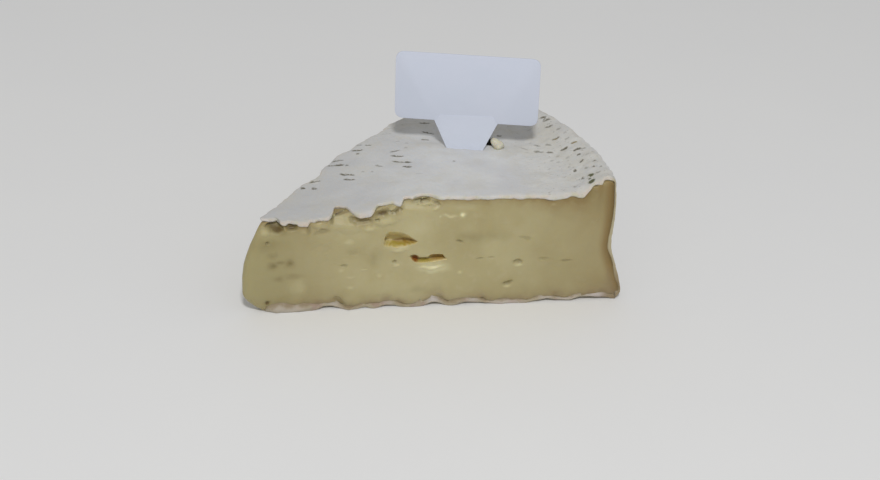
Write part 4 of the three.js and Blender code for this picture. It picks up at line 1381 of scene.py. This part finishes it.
def bloom_finish():
    """Velvety white bloom with short brown grooves, beige patches and a pinkish heel. Painted shade lies up
    the heel's rolled edge and in the slit.
    """
    finish = Finish("velvety_bloom", BLOOM)
    rim, under, wrinkle = (finish.attribute(name) for name in ("rim", "under", "wrinkle"))
    speckle = finish.noise(0.9)
    finish.lay(BLOOM_GREY, finish.patches(16, 0.38, 0.66, roughness=0.5))
    finish.lay(TIP_GREY, finish.attribute("grey"))
    finish.lay(RIM_BLUSH, finish.times(rim, finish.patches(11, 0.48, 0.7, detail=4, roughness=0.6)), 0.6)
    worn = finish.times(finish.patches(7, 0.45, 0.68, detail=4), 0.35)
    finish.lay(BLOOM_BEIGE, finish.plus(worn, finish.times(wrinkle, 0.35), clamp=True))
    flecks = finish.patches(1.5, 0.6, 0.68, roughness=0.7, stretch=(1, 1.6, 1))
    finish.lay(GROOVE_BROWN, finish.times(flecks, wrinkle), 0.4)

    heel = finish.blend(finish.patches(5, 0.5, 0.66, detail=4), HEEL_CREAM, HEEL_PINK)
    heel = finish.blend(finish.attribute("heel_bloom"), heel, HEEL_WHITE)
    # Painted shade up the heel's rolled edge, where it meets the paste in a soft groove
    risen = finish.step(finish.plus(finish.attribute("heel_rise_shade"), finish.noise(2.6)), 0.85, 1.5)
    finish.lay(finish.blend(finish.times(risen, 0.75), heel, HEEL_BROWN), under)

    lip = finish.blend(finish.patches(2.4, 0.42, 0.6), RIND_LIP, RIND_CREAM)
    some = finish.plus(finish.times(finish.patches(3.5, 0.35, 0.65), 0.5), 0.2)
    edge = finish.times(finish.attribute("edge"), finish.math("SUBTRACT", 1.0, under))
    finish.lay(finish.blend(rim, lip, RIM_LINE), finish.times(edge, finish.math("MAXIMUM", some, rim)))

    wander = finish.times(finish.math("SUBTRACT", finish.noise(0.8), 0.5), 1.1)
    across = finish.math("ABSOLUTE", finish.attribute("groove_across"))
    line = finish.step(finish.plus(across, wander), 0.62, 0.12)
    groove = finish.times(line, finish.step(finish.attribute("groove_near"), 0.1, 0.85))
    finish.lay(GROOVE_BROWN, groove, 0.85)
    mould = finish.times(finish.attribute("mould"), finish.step(speckle, 0.3, 0.5))
    finish.lay(MOULD_OLIVE, finish.step(mould, 0.1, 0.7))
    finish.lay(HEEL_BROWN, finish.attribute("brown"), 0.8)
    # Painted shade: the slit's open end painted near black, as the shade deep in the hole
    finish.lay(SLIT_SHADE_DARK, finish.step(finish.attribute("slit"), 0.0, 0.1))
    nap = finish.plus(speckle, finish.times(finish.noise(0.35, detail=2), 0.5))
    return finish.done(
        height=nap, strength=0.4, depth=0.25, Roughness=0.85, Specular_IOR_Level=0.25,
        Sheen_Weight=0.15, Sheen_Roughness=0.5,
        Subsurface_Weight=0.25, Subsurface_Scale=0.001, Subsurface_Radius=(1.2, 1.0, 0.8))


def paste_finish():
    """Ripe straw-coloured paste, deeper under the rind and in its eyes, greener at the tip. Painted shade
    makes part of the deeper tone, of the dark marks and of the eyes; painted light makes the golden eye
    floors and part of the pale marks.
    """
    finish = Finish("ripe_paste", STRAW)
    patches = finish.noise(16, roughness=0.5)
    mottle = finish.noise(3.2, roughness=0.5, distortion=0.3)
    finish.lay(STRAW_DEEP, finish.step(patches, 0.36, 0.66))
    finish.lay(STRAW_PALE, finish.step(mottle, 0.5, 0.8), 0.35)
    finish.lay(STRAW_DULL, finish.attribute("ends"), 0.75)
    finish.lay(TIP_GREEN, finish.attribute("tip"), 0.4)

    # The band under the rind: the paste's ochre there, and painted shade under the rind's edge
    uneven_band = finish.plus(finish.times(finish.noise(2.6), 1.2), 0.3)
    finish.lay(OCHRE, finish.times(finish.attribute("below_rind"), uneven_band, clamp=True), 0.8)
    # Towards the rim: ochre, partly painted shade where the paste falls back from the rind
    finish.lay(OCHRE, finish.step(finish.attribute("near_rim"), 0.05, 0.6))
    finish.lay(RIM_OCHRE, finish.step(finish.attribute("near_rim"), 0.5, 1.0))
    finish.lay(HEEL_BROWN, finish.times(finish.attribute("above_heel"), uneven_band, clamp=True), 0.85)
    finish.lay(HEEL_BROWN, finish.attribute("corner"), 0.7)

    grain = finish.plus(finish.times(finish.noise(1.6), 0.5), 0.75)
    # Real olive stains and painted shade in the hollows and under the torn rind, the deepest painted shade
    # brown
    finish.lay(STAIN_AND_SHADE_OLIVE, finish.times(finish.attribute("stain_and_shade"), grain), 0.75)
    finish.lay(HOLLOW_SHADE_BROWN, finish.step(finish.attribute("stain_and_shade"), 0.7, 1.4))
    finish.lay(STRAW_PALE, finish.attribute("bare"), 0.2)
    # Cream flecks, and painted highlights of wet glints and of lit lips below the eyes and dents
    finish.lay(CREAM, finish.times(finish.attribute("pale"), grain), 0.6)
    # Painted light on the pushed lump's top
    finish.lay(LUMP_LIT_WHITE, finish.attribute("lit_top"))
    # Eyes: a roof lighter than the paste and a golden floor as painted light, red-brown as painted shade
    inside = finish.blend(finish.attribute("gold"), EYE_ROOF, GLOW_GOLD)
    inside = finish.blend(finish.attribute("umber"), inside, SHADE_UMBER)
    finish.lay(inside, finish.step(finish.attribute("eye"), 0.1, 0.6))

    gloss = finish.times(finish.step(patches, 0.3, 0.7), 0.12)
    dry = finish.times(finish.attribute("bare"), 0.25)
    return finish.done(
        height=finish.plus(mottle, finish.times(finish.noise(0.6), 0.2)), strength=0.35, depth=0.35,
        Roughness=finish.plus(finish.plus(gloss, dry), 0.38), Specular_IOR_Level=0.38,
        Subsurface_Weight=0.4, Subsurface_Scale=0.0015, Subsurface_Radius=(1.6, 1.1, 0.5))


def card_finish():
    """White coated card with the faint tooth of its stock, lighter at the stem's foot as painted light."""
    finish = Finish("white_card", CARD_WHITE)
    finish.lay(CARD_SHADE, finish.patches(9, 0.3, 0.7, detail=2))
    # Painted light up from the rind at the stem's foot, and the strip's own lighter tone
    finish.lay(CARD_STEM_LIGHT, finish.attribute("stem"))
    tooth = finish.noise(0.4)
    return finish.done(height=tooth, strength=0.1, depth=0.1, Roughness=0.5, Specular_IOR_Level=0.35)


def table_finish():
    """Plain pale table."""
    finish = Finish("pale_table", TABLE_GREY)
    finish.lay(TABLE_PALE, finish.noise(60))
    return finish.done(Roughness=0.7)


# How the card's corners and edges are rounded, and what counts as one of its edges
CORNER_POINTS = 9
CARD_SOFTNESS = 0.12
TAB_SOFTNESS = 0.04
SOFT_STEPS = 3
SHARP_TURN = 1.2
LEVEL = 1e-6

# The stem's painted light, standing in for the light thrown up from the rind: full at its foot, gone above
# it, and a little more on the strip, which is a lighter piece of its own
STEM_LIGHT = {"foot": 1.2, "tab": 0.08}


def card_outline():
    """Outline of the card with its stem, as (across, up) in millimetres from where it enters the cheese."""
    side, shown, corner = CARD["width"] / 2, CARD_STEM["shown"], CARD["corner"]
    top = shown + CARD["height"]
    tip, foot, neck = CARD_STEM["tip"] / 2, CARD["stem_foot"] / 2, CARD["stem_top"] / 2
    line = [(-tip, -CARD_STEM["buried"]), (tip, -CARD_STEM["buried"]), (foot, 0), (neck, shown)]
    corners = [((side, shown), (-corner, 0), (0, corner)), ((side, top), (0, -corner), (-corner, 0))]
    corners += [((-side, top), (corner, 0), (0, -corner)), ((-side, shown), (0, corner), (corner, 0))]
    for at, before, after in corners:
        for s in np.linspace(0, 1, CORNER_POINTS):
            line.append(tuple(np.array(at) + np.array(before) * (1 - s) ** 2 + np.array(after) * s**2))
    return line + [(-neck, shown), (-foot, 0)]


def tab_outline():
    """Outline of the stem's strip on the front of the card, as (across, up) in millimetres."""
    shown, low = CARD_STEM["shown"], -CARD_TAB["sunk"]
    foot, neck = CARD["stem_foot"] / 2 - CARD_TAB["inset"], CARD["stem_top"] / 2 - CARD_TAB["inset"]
    top = neck - CARD_TAB["taper"]
    line = [(-foot, low), (foot, low), (neck, shown), (top, shown + CARD_TAB["right"])]
    return line + [(-top, shown + CARD_TAB["left"]), (-neck, shown)]


def plain_mesh(form):
    """Points and faces of a bmesh, which is freed."""
    form.verts.index_update()
    points = np.array([tuple(vert.co) for vert in form.verts])
    faces = [[vert.index for vert in face.verts] for face in form.faces]
    form.free()
    return points, faces


def flat_sheet(outline, near, far, softness):
    """Points and faces of a flat sheet of this outline in the card's place, with softened edges."""
    sheet = bmesh.new()
    front = [sheet.verts.new((x, near, z)) for x, z in outline]
    back = [sheet.verts.new((x, far, z)) for x, z in outline]
    sheet.faces.new(front)
    sheet.faces.new(back[::-1])
    for i in range(len(front)):
        j = (i + 1) % len(front)
        sheet.faces.new((front[j], front[i], back[i], back[j]))
    bmesh.ops.recalc_face_normals(sheet, faces=sheet.faces)
    folds = [edge for edge in sheet.edges if len(edge.link_faces) == 2]
    rims = [edge for edge in folds if edge.calc_face_angle() > SHARP_TURN]
    flat = [edge for edge in rims if abs(edge.verts[0].co.y - edge.verts[1].co.y) < LEVEL]
    bmesh.ops.bevel(sheet, geom=flat, offset=softness, segments=SOFT_STEPS, profile=0.5, affect="EDGES")
    bmesh.ops.triangulate(sheet, faces=[face for face in sheet.faces if len(face.verts) > 4])
    turn = Matrix.Rotation(CARD_PLACE["turn"], 4, "Z")
    foot = top_height(CARD_PLACE["x"], CARD_PLACE["y"])
    bmesh.ops.transform(sheet, matrix=turn, verts=sheet.verts)
    bmesh.ops.translate(sheet, vec=(CARD_PLACE["x"], CARD_PLACE["y"], foot), verts=sheet.verts)
    return plain_mesh(sheet)


def card_piece(material):
    """The bare card: its panel and stem in one sheet, and the stem's strip on the front."""
    half = CARD["thickness"] / 2
    points, faces = flat_sheet(card_outline(), -half, half, CARD_SOFTNESS)
    tab_points, tab_faces = flat_sheet(tab_outline(), -half - CARD_TAB["thickness"], 0, TAB_SOFTNESS)
    faces += [[corner + len(points) for corner in face] for face in tab_faces]
    on_tab = np.concatenate([np.zeros(len(points)), np.full(len(tab_points), STEM_LIGHT["tab"])])
    points = np.concatenate([points, tab_points])
    above = (points[:, 2] - top_height(CARD_PLACE["x"], CARD_PLACE["y"])) / CARD_STEM["shown"]
    # Painted light, whitest at the stem's foot
    stem_light = clamp01(STEM_LIGHT["foot"] - above) + on_tab
    return mesh_object("card", points, faces, material, {"stem": stem_light})


def pushed_lump(material):
    """A small irregular lump of paste at the end of the slit, with its foot under the rind."""
    ball = bmesh.new()
    bmesh.ops.create_icosphere(ball, subdivisions=4, radius=1)
    ball_points, faces = plain_mesh(ball)
    sides = LUMP["radius"] * np.array(LUMP["sides"])
    crest = LUMP["crest"] * clamp01(ball_points @ np.array(LUMP["crest_way"])) ** 3
    along, behind = turned(LUMP["along"], LUMP["behind"], -CARD_PLACE["turn"])
    x, y = CARD_PLACE["x"] + along, CARD_PLACE["y"] + behind
    points = ball_points * ((1 + uneven("lump", ball_points))[:, None] * sides + crest[:, None])
    points = points + np.array([x, y, top_height(x, y) + LUMP["lift"]])
    # Painted light on the lump's top and front, which face the key light, and painted shade on the rest
    pale = span("lit_top", ball_points[:, 2] - LUMP_TONES["lean"] * ball_points[:, 1])
    tones = {"tip": np.full(len(points), LUMP_TONES["tip"]), "lit_top": LUMP_TONES["lit_top"] * pale}
    tones["stain_and_shade"] = LUMP_TONES["stain_and_shade"] * (1 - pale)
    return mesh_object("pushed_lump", points, faces, material, tones)


def fleck_places(body):
    """Random points of the paste where it was torn, on which flecks cling."""
    count = len(body.data.vertices)
    points = np.zeros(count * 3)
    bare = np.zeros(count)
    body.data.vertices.foreach_get("co", points)
    body.data.attributes["bare"].data.foreach_get("value", bare)
    torn = points.reshape(-1, 3)[bare > FLECKS["bare"]]
    numbers = np.random.default_rng(SEED)
    return torn[numbers.permutation(len(torn))[: FLECKS["count"]]]


def fleck_tree():
    """Geometry nodes that put one small crumb on every point of a mesh."""
    tree = bpy.data.node_groups.new("scatter_flecks", "GeometryNodeTree")
    inputs = {
        "Geometry": "Geometry", "Smallest": "Float", "Largest": "Float", "Seed": "Int",
        "Material": "Material",
    }
    for label, kind in inputs.items():
        tree.interface.new_socket(label, in_out="INPUT", socket_type="NodeSocket" + kind)
    tree.interface.new_socket("Geometry", in_out="OUTPUT", socket_type="NodeSocketGeometry")
    kinds = {
        "given": "NodeGroupInput", "result": "NodeGroupOutput", "crumb": "GeometryNodeMeshIcoSphere",
        "size": "FunctionNodeRandomValue", "turn": "FunctionNodeRandomValue",
        "squash": "FunctionNodeRandomValue", "scale": "ShaderNodeVectorMath",
        "strew": "GeometryNodeInstanceOnPoints",
        "real": "GeometryNodeRealizeInstances", "dress": "GeometryNodeSetMaterial",
    }
    nodes = {name: tree.nodes.new(kind) for name, kind in kinds.items()}
    nodes["turn"].data_type = nodes["squash"].data_type = "FLOAT_VECTOR"
    nodes["scale"].operation = "SCALE"
    values = [
        ("crumb", "Radius", 1.0), ("crumb", "Subdivisions", 1), ("turn", 1, FLECK_TURN),
        ("squash", 0, FLECK_SQUASH[0]), ("squash", 1, FLECK_SQUASH[1]),
    ]
    for name, socket, value in values:
        nodes[name].inputs[socket].default_value = value
    joints = [
        ("given", "Smallest", "size", 2), ("given", "Largest", "size", 3), ("given", "Seed", "size", "Seed"),
        ("given", "Seed", "turn", "Seed"), ("given", "Seed", "squash", "Seed"), ("squash", 0, "scale", 0),
        ("size", 1, "scale", "Scale"), ("given", "Geometry", "strew", "Points"),
        ("crumb", "Mesh", "strew", "Instance"), ("turn", 0, "strew", "Rotation"),
        ("scale", 0, "strew", "Scale"), ("strew", 0, "real", 0), ("real", 0, "dress", "Geometry"),
        ("given", "Material", "dress", "Material"), ("dress", 0, "result", 0),
    ]
    for start, output, end, entry in joints:
        tree.links.new(nodes[start].outputs[output], nodes[end].inputs[entry])
    return tree


def flecks(body, material):
    """The flecks as one plain mesh."""
    seed_mesh = bpy.data.meshes.new("fleck_seeds")
    seed_mesh.from_pydata(fleck_places(body).tolist(), [], [])
    seeds = add("fleck_seeds", seed_mesh)
    tree = fleck_tree()
    strewn = seeds.modifiers.new("strew", "NODES")
    strewn.node_group = tree
    values = {"Smallest": FLECKS["smallest"] * MM, "Largest": FLECKS["largest"] * MM}
    values.update({"Seed": SEED, "Material": material})
    for item in tree.interface.items_tree:
        if item.in_out == "INPUT" and item.name in values:
            strewn[item.identifier] = values[item.name]
    bpy.context.view_layer.update()
    graph = bpy.context.evaluated_depsgraph_get()
    mesh = bpy.data.meshes.new_from_object(seeds.evaluated_get(graph))
    bpy.data.objects.remove(seeds)
    return add("crumbs", mesh)


bloom = bloom_finish()
paste = paste_finish()

rind_piece = rind_shell(bloom)
paste_piece = paste_body(paste)
lump_piece = pushed_lump(paste)
fleck_piece = flecks(paste_piece, paste)
label_piece = card_piece(card_finish())

cheese = [(rind_piece, "rind"), (paste_piece, "paste"), (lump_piece, "paste"), (fleck_piece, "paste")]
for piece, slot in cheese:
    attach(piece, "root")
    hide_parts("cheese_wedge")
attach(label_piece, "root")
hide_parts("label_card")

# A pale table under the wedge
TABLE_HALF = 4.0
table_mesh = bpy.data.meshes.new("table")
table_corners = [(x * TABLE_HALF, y * TABLE_HALF, 0) for x, y in ((-1, -1), (1, -1), (1, 1), (-1, 1))]
table_mesh.from_pydata(table_corners, [], [(0, 1, 2, 3)])
table_mesh.materials.append(table_finish())
table = add("table", table_mesh)

# Soft studio light: one key from the camera's side, and a pale surround
KEY = {"height": math.radians(50), "turn": math.radians(-4), "far": 1.4, "size": 0.16, "power": 8.9}
KEY_TARGET = Vector((0, 0, 0.02))
SURROUND = 0.4
key_level = math.cos(KEY["height"])
key_x, key_y = math.sin(KEY["turn"]) * key_level, -math.cos(KEY["turn"]) * key_level
key_way = Vector((key_x, key_y, math.sin(KEY["height"])))
key_light = bpy.data.lights.new("key", "AREA")
key_light.size = KEY["size"]
key_light.energy = KEY["power"]
key = add("key", key_light)
key.location = KEY_TARGET + key_way * KEY["far"]
key.rotation_euler = key_way.to_track_quat("Z", "Y").to_euler()

world = bpy.data.worlds.new("pale_surround")
world.use_nodes = True
world.node_tree.nodes["Background"].inputs["Color"].default_value = (1.0, 1.0, 1.0, 1)
world.node_tree.nodes["Background"].inputs["Strength"].default_value = SURROUND
bpy.context.scene.world = world
bpy.context.scene.view_settings.view_transform = "Standard"

# The camera, at the angle of the photograph
CAMERA_PLACE = (-0.07062, -0.56911, 0.32818)
RIGHT = Vector((0.99258, -0.11766, 0.03065))
UPWARD = Vector((0.03218, 0.49730, 0.86698))
FORWARD = Vector((0.11725, 0.85956, -0.49739))
camera_data = bpy.data.cameras.new("camera")
camera_data.lens = 84.395
camera_data.sensor_width = 36
camera_data.clip_start = 0.01
camera = add("camera", camera_data)
camera_axes = Matrix((RIGHT, UPWARD, -FORWARD)).transposed().to_4x4()
camera.matrix_world = Matrix.Translation(CAMERA_PLACE) @ camera_axes
bpy.context.scene.camera = camera
